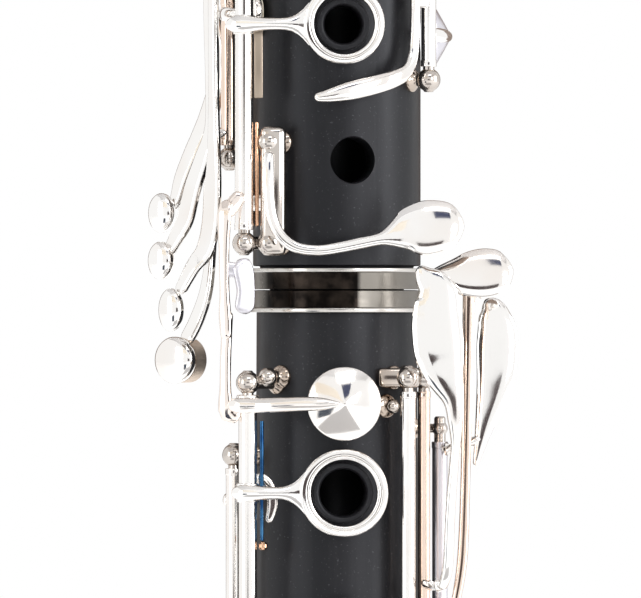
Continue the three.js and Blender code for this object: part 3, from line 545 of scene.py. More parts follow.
def ebonite_finish():
    f = Finish("polished_ebonite", IOR=1.6, Coat_Roughness=0.06)
    haze = f.noise(160, 4, 0.6)
    f.feed(f.shader, {"Base_Color": f.blend(f.between(haze, 0.4, 0.7), rgb(0.007, 0.007, 0.008),
                                            rgb(0.014, 0.014, 0.013)),
                      "Roughness": f.between(haze, 0.35, 0.7, 0.10, 0.2),
                      "Coat_Weight": f.between(haze, 0.3, 0.6)})
    f.bumps(f.noise(1500, 2), 0.03, 0.00003)
    return f.material


def cork_finish():
    f = Finish("tenon_cork")
    cells = f.node("ShaderNodeTexVoronoi", values={"Vector": f.place, "Scale": 1300.0}).outputs[0]
    pits = f.noise(700, 4, 0.65)
    f.feed(f.shader, {"Base_Color": f.blend(f.between(pits, 0.35, 0.68), rgb(0.22, 0.10, 0.035),
                                            rgb(0.58, 0.36, 0.18)),
                      "Roughness": f.between(pits, 0.3, 0.7, 0.7, 0.92)})
    f.bumps(pits + f.signal(cells) * 0.5, 0.5, 0.0002)
    return f.material


def cane_finish():
    f = Finish("split_cane")
    fibre = f.noise(1500, 3, 0.5, (1, 1, 0.02))
    blotch = f.noise(110, 3, 0.5)
    tone = f.blend(f.between(fibre, 0.35, 0.65), rgb(0.52, 0.33, 0.11), rgb(0.80, 0.62, 0.32))
    f.feed(f.shader, {"Base_Color": f.blend(f.between(blotch, 0.55, 0.75, 0, 0.35), tone,
                                            rgb(0.50, 0.30, 0.10)),
                      "Roughness": f.between(fibre, 0.3, 0.7, 0.42, 0.62)})
    f.bumps(fibre, 0.3, 0.00008)
    return f.material


def pad_finish():
    f = Finish("bladder_skin_pad", Coat_Roughness=0.3)
    skin = f.noise(900, 4, 0.6)
    f.feed(f.shader, {"Base_Color": f.blend(f.between(skin, 0.35, 0.7), rgb(0.72, 0.64, 0.50),
                                            rgb(0.86, 0.81, 0.70)),
                      "Roughness": f.between(skin, 0.3, 0.7, 0.42, 0.6),
                      "Coat_Weight": f.between(skin, 0.3, 0.7, 0.1, 0.3)})
    f.bumps(skin, 0.3, 0.00008)
    return f.material


SHELTER = (0.0142, 0.0182)  # metres from the bore: the warm tone inside the first, the bright tone beyond the second

WOOD = grenadilla_finish()
SILVER = silver_finish("bright_silver_plate", rgb(0.94, 0.925, 0.905), rgb(0.83, 0.70, 0.60), SHELTER)
# painted shade: a rosy, darker copy of the plate, with shade painted into its colour
SILVER_IN_PAINTED_ROSY_SHADE = silver_finish("silver_in_painted_rosy_shade", rgb(0.92, 0.76, 0.65), rgb(0.70, 0.50, 0.38), SHELTER)
# painted shade: a pale rosy copy of the plate, with shade painted into its colour
SILVER_IN_PAINTED_PALE_ROSY_SHADE = silver_finish("silver_in_painted_pale_rosy_shade", rgb(0.93, 0.85, 0.79), rgb(0.76, 0.62, 0.52), SHELTER)
# painted shade: a satin, warmer and darker copy of the plate for the sides of touches
SATIN_SILVER_IN_PAINTED_SIDE_SHADE = silver_finish("satin_edge_in_painted_side_shade", rgb(0.80, 0.68, 0.57), rgb(0.66, 0.53, 0.42), SHELTER, 0.4, 0.55)
# painted shade: a grey-lavender copy of the plate, rougher, with shade painted into its colour
DULLED_SILVER_IN_PAINTED_GREY_SHADE = silver_finish("dulled_silver_in_painted_grey_shade", rgb(0.74, 0.73, 0.78), rgb(0.64, 0.61, 0.63), SHELTER,
                            0.26, 0.36)
# painted shade: a dull, darker brown copy of the plate, with shade painted into its colour
DULL_NICKEL_IN_PAINTED_SHADE = silver_finish("dull_nickel_in_painted_shade", rgb(0.43, 0.36, 0.29), rgb(0.38, 0.30, 0.23), SHELTER,
                            0.25, 0.4)
BRONZE = silver_finish("bronze_spring_wire", rgb(0.80, 0.50, 0.33), rgb(0.52, 0.26, 0.14), SHELTER, 0.12,
                       0.22)
NICKEL = silver_finish("grey_nickel_posts", rgb(0.60, 0.555, 0.515), rgb(0.42, 0.33, 0.26), (0.0150, 0.0185),
                       0.07, 0.16)
FITTING = silver_finish("nickel_silver_fittings", rgb(0.78, 0.76, 0.73), rgb(0.60, 0.54, 0.46),
                        (0.010, 0.013), 0.08, 0.2)
# the joint bands' finish, with a painted dark reflection and painted rim highlights
JOINT_RING = joint_ring_finish()
BLUED = blued_finish()
EBONITE = ebonite_finish()
CORK = cork_finish()
CANE = cane_finish()
PAD = pad_finish()

# ------------------------------------------------------------------ the body of the instrument

LH1 = {"z": 408, "bore": 2.9, "chimney": 4.3, "inner": 4.85, "outer": 6.45}
LH2 = {"z": 376.7, "bore": 3.13, "chimney": 4.4, "inner": 4.94, "outer": 6.67}
LH3 = {"z": 354.4, "deg": 11, "bore": 3.75}
THUMB = {"z": 419, "bore": 3.2, "bush": 4.2, "inner": 4.9, "outer": 6.5}
SPEAKER = (-180, 508, 4.2)
RH = [{"z": z, "bore": 3.87, "chimney": 5.05, "inner": 5.43, "outer": 7.3} for z in (299.6, 275.1, 250.6)]

# degrees round the body, height and radius of each pad
UPPER_PADS = {"trill_upper": (-72, 503, 4.2), "trill_lower": (-59, 489, 4.2), "side_f_sharp": (-46, 424, 4.3),
              "side_e_flat": (-70, 379, 4.1), "throat_a": (0, 493, 4.7), "throat_g_sharp": (38, 486, 4.4),
              "e_flat": (90, 375.3, 4.7), "c_sharp": (-92, 347.4, 4.4), "lh_vent": (HOLE_LINE, 392.4, 4.3),
              "thumb_vent": (150, 434, 3.9)}
LOWER_PADS = {"rh_top": (HOLE_LINE, 314.3, 6.1), "b_natural": (-106, 298, 3.9), "a_flat": (3, 231, 5.4),
              "f": (-108, 197, 7.4), "f_sharp": (-105, 172, 7.4), "e": (-100, 150, 8.2)}


def hole_drill(deg, z, r, surface):
    """A drill for a tone hole, with a small countersink where it leaves the wood."""
    bite = 0.35
    return turned([(0, 4), (r, 4), (r, surface - bite), (r + bite * 0.6, surface),
                   (r + bite * 0.9, surface + 3), (0, surface + 3)], standing(deg, 0, z), 40)


def chimney(deg, spec):
    """The raised lip of a ringed tone hole."""
    top = body_radius(spec["z"]) + CHIMNEY_H
    r, out = spec["bore"], spec["chimney"]
    return turned(eased([(r, 8), (out, 8), (out, top - 0.15), (out - 0.35, top), (r + 0.35, top),
                         (r, top - 0.5), (r, 8)], 0.2), standing(deg, 0, spec["z"]), 48)


def make_body():
    seat = JOINT_PLANE + 4
    foot, head = low_of("upper_joint"), high_of("upper_joint")
    top = BARREL_FOOT - 0.3
    upper = eased([
        (BORE_R, foot), (TENON_R, foot), (TENON_R, foot + 2.5), (CORK_SEAT_R, foot + 2.5),
        (CORK_SEAT_R, JOINT_PLANE - 2), (TENON_R, JOINT_PLANE - 2), (TENON_R, JOINT_PLANE + 0.3),
        (12.8, JOINT_PLANE + 0.3), (12.8, seat), (UPPER_R, seat), (UPPER_R, top), (TENON_R, top),
        (TENON_R, top + 3), (CORK_SEAT_R, top + 3), (CORK_SEAT_R, head - 3), (TENON_R, head - 3),
        (TENON_R, head), (BORE_R, head), (BORE_R, foot)], 0.3)
    drills = [hole_drill(LH3["deg"], LH3["z"], LH3["bore"], UPPER_R),
              hole_drill(180, THUMB["z"], 4.25, UPPER_R), hole_drill(180, SPEAKER[1], PAD_HOLE, UPPER_R)]
    drills += [disc(h["chimney"] - 0.15, 4, 18, standing(HOLE_LINE, 0, h["z"])) for h in (LH1, LH2)]
    drills += [hole_drill(deg, z, PAD_HOLE, UPPER_R) for deg, z, _ in UPPER_PADS.values()]
    piece("upper_joint_wood", [turned(upper, None, 180)], WOOD, "body", ["upper_joint"], drills)
    piece("upper_tone_hole_lips", [chimney(HOLE_LINE, h) for h in (LH1, LH2)], WOOD, "body")

    low, high = low_of("lower_joint"), JOINT_PLANE
    lower = eased([
        (10.2, low), (12.4, low), (12.4, low + 3), (10.8, low + 3), (10.8, BELL_TOP - 3),
        (12.4, BELL_TOP - 3), (12.4, BELL_TOP + 0.3), (LOWER_FOOT_R, BELL_TOP + 0.3),
        (LOWER_TOP_R, high - 3.6), (12.7, high - 3.6), (12.7, high), (11.5, high), (11.5, high - 14.5),
        (BORE_R, high - 14.5), (BORE_R, low + 110), (9, low + 40), (10.2, low)], 0.3)
    drills = [disc(h["chimney"] - 0.15, 4, 18, standing(HOLE_LINE, 0, h["z"])) for h in RH]
    drills += [hole_drill(deg, z, r * 0.6, body_radius(z)) for deg, z, r in LOWER_PADS.values()]
    piece("lower_joint_wood", [turned(lower, None, 180)], WOOD, "body", ["lower_joint"], drills)
    piece("lower_tone_hole_lips", [chimney(HOLE_LINE, h) for h in RH], WOOD, "body")

    z = JOINT_PLANE
    upper_band = [(13.0, z + 0.3), (14.1, z + 0.1), (14.1, z + 2.9), (14.35, z + 3.05), (14.35, z + 3.6),
                  (13.0, z + 3.6), (13.0, z + 0.3)]
    lower_band = [(13.0, z - 3.7), (14.35, z - 3.7), (14.4, z - 3.1), (14.1, z - 2.9), (14.1, z - 0.1),
                  (13.0, z), (13.0, z - 3.7)]
    for half, band in (("upper", upper_band), ("lower", lower_band)):
        piece(half + "_joint_band", [turned(eased(band, 0.12), None, 144)], JOINT_RING, "body",
              [half + "_joint_ring"])
    for node in ("upper_tenon_cork", "middle_tenon_cork", "bell_tenon_cork", "mouthpiece_cork"):
        body = "barrel_set" if node == "mouthpiece_cork" else "body"
        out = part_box(node)[1].x / MM
        piece(node + "_sleeve", [hoop(out - 1.2, out, low_of(node), high_of(node), None, 96, 0.3)], CORK,
              body, [node])
    piece("thumb_bush", [turned(eased([(3.2, 8), (4.2, 8), (4.2, 15.3), (3.9, 15.6), (3.4, 15.6), (3.2, 15.2),
                                       (3.2, 8)], 0.15), standing(180, 0, THUMB["z"]))],
          FITTING, "body", ["thumb_bushing"])
    piece("speaker_tube", [hoop(1.4, 2.0, 5.8, 14.1, standing(180, 0, SPEAKER[1]), 24, 0.1)], FITTING, "body",
          ["register_tube"])

    throat = BELL_TOP - 22
    bell_in = curve_through([(12, throat - 0.3), (15.5, 60), (18.5, 45), (22.5, 30), (27.4, 18), (35.2, 3.3)],
                            6)
    bell_out = curve_through([(37.6, 3.3), (33, 11.5), (27.6, 23), (23, 36), (19.4, 52), (17.2, 76),
                              (16.9, 97.4)], 6)
    bell = [*[tuple(p) for p in bell_in], *[tuple(p) for p in bell_out], (15.9, 97.7), (15.9, BELL_TOP),
            (12.7, BELL_TOP), (12.7, throat), (12, throat - 0.3)]
    piece("bell_wood", [turned(bell, None, 128)], WOOD, "body", ["bell"])
    socket_band = [(16.2, 98), (17.9, 98), (17.9, 99.2), (17.3, 99.6), (17.3, 104.2), (17.9, 104.8),
                   (17.9, BELL_TOP), (16.2, BELL_TOP), (16.2, 98)]
    rim_band = [(35.3, 0), (39, 0), (39.5, 0.8), (39.5, 2.2), (38.6, 3), (35.3, 3), (35.3, 0)]
    piece("bell_socket_band", [turned(eased(socket_band, 0.2), None, 128)], FITTING, "body",
          ["bell_socket_ring"])
    piece("bell_rim_band", [turned(eased(rim_band, 0.35), None, 160)], FITTING, "body", ["bell_rim_ring"])


KNURLS = 18


def make_barrel_set():
    low, high = BARREL_FOOT, BARREL_TOP
    body = curve_through([(15.8, low + 4.3), (16.8, low + 12), (16.9, low + 22), (16.4, high - 22),
                          (15.3, high - 4.3)], 6)
    shell = [(11.5, low), (14.2, low), (14.2, low + 4.3), *[tuple(p) for p in body], (14.2, high - 4.3),
             (14.2, high), (11.5, high), (11.5, high - 15.8), (BORE_R, high - 15.8), (BORE_R, low + 16.8),
             (11.5, low + 16.8), (11.5, low)]
    piece("barrel_wood", [turned(shell, None, 128)], WOOD, "barrel_set", ["barrel"])
    for name, node, z, out in (("barrel_lower_band", "barrel_lower_ring", low, 16.2),
                               ("barrel_upper_band", "barrel_upper_ring", high - 4, 15.7)):
        ring = [(14.4, z), (out, z), (out, z + 1), (out - 0.3, z + 1.3), (out - 0.3, z + 2.7), (out, z + 3),
                (out, z + 4), (14.4, z + 4), (14.4, z)]
        piece(name, [turned(eased(ring, 0.18), None, 128)], FITTING, "barrel_set", [node])

    foot = low_of("mouthpiece")
    stem = turned([(0, foot), (TENON_R, foot), (TENON_R, foot + 2), (CORK_SEAT_R, foot + 2),
                   (CORK_SEAT_R, high - 2), (TENON_R, high - 2), (TENON_R, high + 0.3), (14.2, high + 0.3),
                   (14.6, high + 0.8), (14.6, high + 2.6), (14.2, high + 3.2), (13.5, high + 5),
                   (12.7, high + 16), (12, TIP - 34), (11.3, TIP - 16), (10.6, TIP), (0, TIP)], None, 96)
    sliced(stem, Vector((0, -14, TIP - 32)), Vector((0, -34, 20.7)))
    upper = stem.copy()
    for half, clear in ((stem, "clear_outer"), (upper, "clear_inner")):
        sliced(half, (0, 0, high + 8), (0, 0, 1), clear)
    sliced(upper, Vector((0, 7.6, TIP - 40)), Vector((0, 1, 0)))
    for half in (stem, upper):
        bmesh.ops.recalc_face_normals(half, faces=half.faces)
    piece("mouthpiece_body", [stem, upper], EBONITE, "barrel_set", ["mouthpiece"], sharp=30)

    heel = high + 11
    side = [(7.9, heel), (10.2, heel), (10.6, heel + 0.6), (10.6, TIP - 36), (10.3, TIP - 33),
            (9.2, TIP - 20), (8.5, TIP - 8), (8.15, TIP - 1), (7.9, TIP - 1)]
    piece("cane_reed", [cut_strip(side, -6.3, 6.3, 0.12, lying(0, 0))], CANE, "barrel_set", ["reed"])

    bottom, top = low_of("ligature"), high_of("ligature")
    band = [hoop(14.2, 15, bottom, top, None, 96, 0.3)]
    for z in (bottom + 0.4, top - 1.5, (bottom + top) / 2 - 0.5):
        band.append(hoop(14.1, 15.35, z, z + 1.1, None, 96, 0.3))
    band += [slab((x, 14.3, bottom + 1.6), (x + 2.2, 20.6, top - 1.6), 0.5) for x in (-4.6, 2.4)]
    piece("ligature_band", band, FITTING, "barrel_set", ["ligature"])
    for node in ("ligature_screw_lower", "ligature_screw_upper"):
        lo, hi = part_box(node)
        shaft = lying((lo.y + hi.y) / 2 / MM, (lo.z + hi.z) / 2 / MM)
        head = turned(eased([(0, -6.5), (1.25, -6.5), (1.25, 6.2), (2.2, 6.5), (3.2, 7.2), (3.8, 8),
                             (3.8, 10.2), (3.1, 11.3), (0, 11.5)], 0.3), shaft)
        knurls = [turned(eased([(0, 7.6), (0.42, 7.7), (0.42, 10.4), (0, 10.6)], 0.1),
                         shaft @ Matrix.Rotation(2 * pi * k / KNURLS, 4, "Z") @ lifted(3.75, 0), 8)
                  for k in range(KNURLS)]
        piece(node + "_part", [head, *knurls], FITTING, node + "_body", [node])


def make_thumb_rest():
    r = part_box("thumb_rest")[0].y / MM
    plate = forged([(0, r + 0.7, 250.4, 8.6, 1.4), (0, r + 0.8, 256, 9, 1.4), (0, r + 0.8, 268, 9, 1.4),
                     (0, r + 0.7, 273.6, 7.4, 1.4)], face=(0, 1, 0), power=4)
    hook = forged([(0, r + 0.6, 263.0, 9, 2.4), (0, r + 2.8, 260.9, 9, 1.7), (0, r + 6.6, 259.8, 9, 1.6),
                   (0, r + 10.6, 260.1, 9, 1.6), (0, r + 13.6, 262.2, 8.4, 1.5)], face=(0, 0, -1), power=4)
    screws = [disc(1.5, r + 1.2, r + 1.9, standing(180, 0, z), 24, 0.25) for z in (253.5, 270.5)]
    piece("thumb_hook", [plate, hook, *screws], FITTING, "body", ["thumb_rest"])


# ------------------------------------------------------------------ posts, rods and tubes

BALL = 1.95
ROD = 0.95
TUBE = 1.58


def post(x, y, z, ball=BALL, flange=2.0):
    """A post screwed into the wood: flange, waist, and the ball that takes the rod."""
    foot = body_radius(z)
    rise = hypot(x, y) - foot
    waist = min(1.05, ball * 0.6)
    dome = [(ball * sin(radians(a)), rise - ball * cos(radians(a))) for a in range(36, 181, 8)]
    stem = eased([(0, -1.2), (flange, -1.2), (flange, 0.35), (flange - 0.4, 0.75), (waist + 0.3, 0.95),
                  (waist, 1.35), dome[0]], 0.2)
    return turned([*stem[:-1], *dome[:-1], (0, rise + ball)], standing(angle_of(x, y), foot, z), 32)


def rod(x, y, low, high, r=ROD):
    """The steel rod, with the turned ends of its two screws proud of the outer posts."""
    reach = 2.0
    return turned(eased([(0, low - reach), (r * 0.75, low - reach), (r, low - reach + 0.3),
                         (r, high + reach - 0.3), (r * 0.75, high + reach), (0, high + reach)], 0.08),
                  lifted(x, y), 20)


def hinge(name, node, rods, extra=()):
    """Posts with their rods. Each rod is its axis and the heights of its posts."""
    shapes = list(extra)
    for (x, y), heights in rods:
        shapes.append(rod(x, y, min(heights), max(heights)))
        shapes += [post(x, y, z) for z in heights]
    piece(name, shapes, NICKEL, "body", [node])


def tube(x, y, low, high, r=TUBE):
    lip = min(1.0, (high - low) / 6)
    return turned(eased([(ROD + 0.03, low), (r + 0.02, low), (r + 0.02, low + lip),
                         (r - 0.06, low + lip + 0.12), (r - 0.06, high - lip - 0.12), (r + 0.02, high - lip),
                         (r + 0.02, high), (ROD + 0.03, high), (ROD + 0.03, low)], 0.1), lifted(x, y), 40)


def collar(x, y, z, wide=1.6):
    return disc(TUBE + 0.28, z - wide / 2, z + wide / 2, lifted(x, y), 32, 0.3)


def cup(deg, z, r, lift=0.0, height=2.8):
    """A conical pad cup: a low wall, and straight flanks up to a point."""
    base = body_radius(z) + 0.5 + lift
    return turned([(0, 0), (r - 0.25, 0), (r - 0.05, 0.1), (r, 0.3), (r, 1.0), (r - 0.08, 1.2),
                   (r - 0.3, 1.36), (r * 0.5, (1.36 + height) / 2 + 0.05), (0.35, height),
                   (0, height + 0.06)], standing(deg, base, z), 72)


def pad(deg, z, r, lift=0.0):
    base = body_radius(z) + 0.5 + lift
    return turned([(0, -0.45), (r - 1.6, -0.40), (r - 1.0, -0.46), (r - 0.5, -0.3), (r - 0.3, 0.1), (0, 0.1)],
                  standing(deg, base, z), 48)


def finger_ring(deg, spec):
    """A finger ring: a rounded outer shoulder, a fine turned line, and a bright inner lip."""
    base = body_radius(spec["z"]) + RING_OUT
    a, b = spec["inner"], spec["outer"]
    lip = a + (b - a) * 0.36
    return turned(eased([(a, base), (b - 0.25, base), (b, base + 0.35), (b, base + 0.75),
                         (b - 0.3, base + 1.12), (lip + 0.16, base + 1.2), (lip, base + 0.98),
                         (lip - 0.16, base + 1.22), (a + 0.2, base + 1.2), (a, base + 0.95), (a, base)],
                        0.13), standing(deg, 0, spec["z"]), 96)


def ring_arm(x, y, spec, over=-3.0, tall=(1.2, 2.8, 2.2, 2.2)):
    """The ridged arm from a pointed end beyond the rod, over the tube, to the ring it carries."""
    z = spec["z"]
    front = -(body_radius(z) + RING_OUT + 0.75)
    centre = at(HOLE_LINE, 0, z).x + sin(radians(HOLE_LINE)) * 16
    edge = centre - spec["outer"]
    top = y - 2.3
    return [forged([(x + over, y - 0.9, z, tall[0], 1.1), (x + over + 1.5, top + 0.1, z, tall[1], 1.7),
                    (x + 0.6, top - 0.2, z, tall[1] + 0.15, 1.9),
                    (x + 3.2, (top + front) / 2 - 0.2, z, tall[2], 1.6), (edge - 2.4, front, z, tall[3], 1.3),
                    (edge - 0.5, front + 0.1, z, tall[3] + 1.8, 1.15),
                    (edge + 1.2, front + 0.2, z, tall[3] + 5.4, 1.0)], power=1.75, tips=(True, False)),
            collar(x, y, z, 3.2)]


def key_part(key, shapes):
    """The plated part of a key, which stands for its node."""
    piece(key + "_part", shapes, SILVER, key + "_body", [key])


def key_detail(name, key, shapes, finish):
    """A part of a key with a finish of its own, mostly a copy of the plate with shade painted into its
    colour.
    """
    piece(name, shapes, finish, key + "_body")


def key_pad(name, key, shapes):
    piece(name, shapes, PAD, key + "_body")


# ------------------------------------------------------------------ left-hand front keys

FRONT = (0, -1, 0)
TILTED = (0, -1, 0.2)  # touches lean back a little
ASIDE = (-0.4, -1, 0)


def make_left_front():
    rod_a, rod_b = rod_of("lh2_ring_key"), rod_of("c_sharp_key")
    (x, y), (cx, cy) = rod_a, rod_b
    strap = [slab((-12.6, -14.9, 338.6), (-8.4, -12.2, 360.0), 1.15)]
    hinge("left_front_posts", "lh_front_hinges", [(rod_a, (340.7, 397.5, 414)), (rod_b, (340.7, 357.4))],
          strap)
    key_part("lh1_ring_key", [tube(x, y, 399.7, 411.8), finger_ring(HOLE_LINE, LH1), *ring_arm(x, y, LH1)])
    deg, z, r = UPPER_PADS["lh_vent"]
    tail = forged([
        (x - 2.6, -15.4, 347.8, 1.6, 1.0), (x - 3.2, -16.2, 345.4, 2.4, 1.1), (x - 3.3, -16.2, 340, 1.8, 1.1),
        (x - 3.2, -16.2, 333, 1.6, 1.1), (x - 3.1, -16.2, 328.5, 2.1, 1.1),
        (x - 2.9, -16.2, 324.8, 1.7, 1.1)], face=ASIDE, power=3.0)
    link = forged([(x - 0.2, y - 1.4, 349, 2.2, 1.2), (x - 1.8, y - 1.9, 347, 2.6, 1.2),
                   (x - 3.1, -16.1, 345.2, 2.2, 1.1)], face=FRONT)
    arm = forged([(x - 2.2, y - 0.8, z, 1.4, 1.1), (x, y - 2.3, z, 2.8, 1.8), (x + 4, y - 3.6, z, 2.4, 1.6),
                  (-4, -18.9, z, 2.0, 1.5), (1.0, -19.1, z, 0.7, 0.8)], power=1.8)
    key_part("lh2_ring_key", [tube(x, y, 342.9, 395.3), finger_ring(HOLE_LINE, LH2), *ring_arm(x, y, LH2),
                              arm, cup(deg, z, r, 2.0), collar(x, y, z, 3)])
    # the bridge has pale rosy shade painted into its plate colour
    key_detail("lh2_bridge", "lh2_ring_key", [tail, link], SILVER_IN_PAINTED_PALE_ROSY_SHADE)
    key_pad("lh_vent_pad", "lh2_ring_key", [pad(deg, z, r, 2.0)])
    block = forged([(x - 0.9, -16.1, 338.0, 2.2, 1.2), (x - 0.2, -16.2, 336.6, 3.4, 1.3),
                    (x + 0.3, -16.2, 333, 3.0, 1.3), (x + 0.1, -16.2, 330.4, 3.2, 1.3),
                    (x, -16.1, 329.0, 2.6, 1.2)], face=(0.3, -1, 0), power=3.6)
    web = forged([(x - 3.2, -16.1, 336.4, 2.6, 1.0), (x - 0.8, -16.1, 336.2, 2.4, 1.0)], face=FRONT)
    # the block and web have grey shade painted into their plate colour
    key_detail("lh2_bridge_block", "lh2_ring_key", [block, web], DULLED_SILVER_IN_PAINTED_GREY_SHADE)
    # the flat foot has brown shade painted into its plate colour
    flat_foot = slab((x + 1.66, -14.4, 364.6), (x + 3.1, -13.7, 375.8), 0.15)
    key_detail("lh2_flat_foot", "lh2_ring_key", [flat_foot], DULL_NICKEL_IN_PAINTED_SHADE)
    wire = [(0, 343.4), (0.3, 343.6), (0.36, 352), (0.3, 360.6), (0, 360.8)]
    piece("c_sharp_spring", [turned(eased(wire, 0.05), lifted(x + 2.1, y + 0.2), 12)], BRONZE, "body")

    deg, z, r = UPPER_PADS["c_sharp"]
    lever = forged([
        (-11.2, -15.2, 355.8, 1.7, 1.5), (-11.25, -16.3, 352.5, 1.9, 1.6), (-11.2, -16.9, 348.8, 1.9, 1.6),
        (-10.75, -17.2, 345.2, 1.9, 1.6), (-9.9, -17.4, 342.9, 1.9, 1.6), (-8.5, -17.5, 341.1, 1.95, 1.6),
        (-6.4, -17.5, 339.9, 1.9, 1.6), (-3.0, -17.5, 339.5, 1.9, 1.6), (0.5, -17.5, 340.0, 1.9, 1.5),
        (3.8, -17.5, 340.7, 2.0, 1.5), (7.2, -17.5, 341.4, 2.2, 1.5), (9.6, -17.5, 342.1, 4.6, 1.6),
        (11.8, -17.5, 342.8, 7.6, 1.9), (14.2, -17.5, 343.1, 9.2, 2.2), (16.8, -17.5, 343.4, 8.8, 2.2),
        (19.0, -17.4, 343.5, 7.4, 2.0), (20.9, -17.3, 343.5, 5.0, 1.6)], face=TILTED, power=2.3, back=0.7,
                   pitch=0.6)
    arm = forged([(*at(-38, 17.4, z), 2.6, 1.2), (*at(-54, 16.6, z), 2.6, 1.2), (*at(-70, 16.8, z), 2.4, 1.2),
                  (*at(-88, 17.3, z), 1.6, 1.1)], power=2)
    key_part("c_sharp_key", [tube(cx, cy, 342.9, 355.2, 1.45), lever, arm, cup(deg, z, r)])
    key_pad("c_sharp_pad", "c_sharp_key", [pad(deg, z, r)])


def make_e_flat():
    axis = rod_of("e_flat_key")
    x, y = axis
    hinge("e_flat_posts", "e_flat_sliver_hinge", [(axis, (367.8, 394.5))])
    deg, z, r = UPPER_PADS["e_flat"]
    lever = forged([
        (12.9, -10.2, 387.6, 1.7, 1.5), (12.9, -10.3, 380.8, 1.8, 1.6), (12.75, -10.5, 374.5, 1.9, 1.6),
        (12.4, -11.2, 371.2, 2.2, 1.6), (11.4, -12.8, 369.0, 2.5, 1.6), (9.5, -14.9, 367.8, 2.8, 1.6),
        (6.5, -16.6, 366.8, 3.1, 1.6), (2.3, -17.9, 365.7, 3.1, 1.6), (-1.1, -18.4, 364.9, 2.3, 1.5),
        (-3.7, -18.5, 364.5, 1.3, 1.2)], power=2.1, back=0.8, pitch=0.6)
    web = slab((12.7, -10.3, 379.6), (15.2, -8.5, 388.2), 0.5)
    arm = forged([(15.6, -8.4, z, 2.2, 1.4), (17.3, -5.4, z, 2.4, 1.4), (18.6, -1.4, z, 1.8, 1.2),
                  (18.9, 0.6, z, 0.8, 0.8)], power=1.9)
    key_part("e_flat_key", [tube(x, y, 370.0, 392.3, 1.3), lever, web, arm])
    # the cup has grey shade painted into its plate colour
    key_detail("e_flat_cup", "e_flat_key", [cup(deg, z, r, 0.9, 3.6)], DULLED_SILVER_IN_PAINTED_GREY_SHADE)
    key_pad("e_flat_pad", "e_flat_key", [pad(deg, z, r, 0.9)])


# ------------------------------------------------------------------ side keys of the right hand


def thumbed_oval(x, y, z, wide, tall, thick, deg=-34):
    """A domed oval finger piece that looks out to the player's side."""
    place = facing(deg, Vector((x, y, z))) @ Matrix.Diagonal((wide / 2, tall / 2, 1, 1))
    return turned([(0, -thick / 2), (0.86, -thick / 2), (0.97, -thick * 0.38), (1.0, -thick * 0.1),
                   (1.0, thick * 0.18), (0.95, thick * 0.4), (0.82, thick * 0.58), (0.5, thick * 0.78),
                   (0.2, thick * 0.85), (0, thick * 0.86)], place, 48)


def side_key(key, tube_z, pad_name, bar, oval, deg=-34):
    """A side key: pad arm and cup at the top of its tube, and a bent bar down to its oval touch."""
    axis = rod_of(key)
    x, y = axis
    rod_deg = angle_of(x, y)
    pad_deg, z, r = UPPER_PADS[pad_name]
    arm = forged([(*at(rod_deg + 4, 19.2, z), 2.2, 1.2), (*at((rod_deg + pad_deg) / 2, 18.8, z), 2.4, 1.3),
                  (*at(pad_deg - 3, 17.7, z), 1.6, 1.1), (*at(pad_deg + 2, 17.3, z), 0.8, 0.8)], power=1.9)
    bar_z = bar[0][2]
    root = forged([(x, y, bar_z + 1.5, 2.4, 1.6),
                   ((x + bar[0][0]) / 2, (y + bar[0][1]) / 2, bar_z + 1.2, 2.4, 1.4),
                   (bar[0][0], bar[0][1], bar_z, 2.0, 1.4)], face=(-1, -0.4, 0))
    strip = forged(bar, face=(-0.75, -0.66, 0.0), power=3.2, pitch=0.7)
    key_part(key, [arm, root, strip, thumbed_oval(*oval, deg), cup(pad_deg, z, r)])
    # the side E flat key's tube has rosy shade painted into its plate colour; the other side keys' tubes are
    # plain plate
    finish = SILVER_IN_PAINTED_ROSY_SHADE if key == "side_e_flat_key" else SILVER
    key_detail(key + "_tube", key, [tube(x, y, *tube_z, 1.5)], finish)
    key_pad(key + "_pad", key, [pad(pad_deg, z, r)])


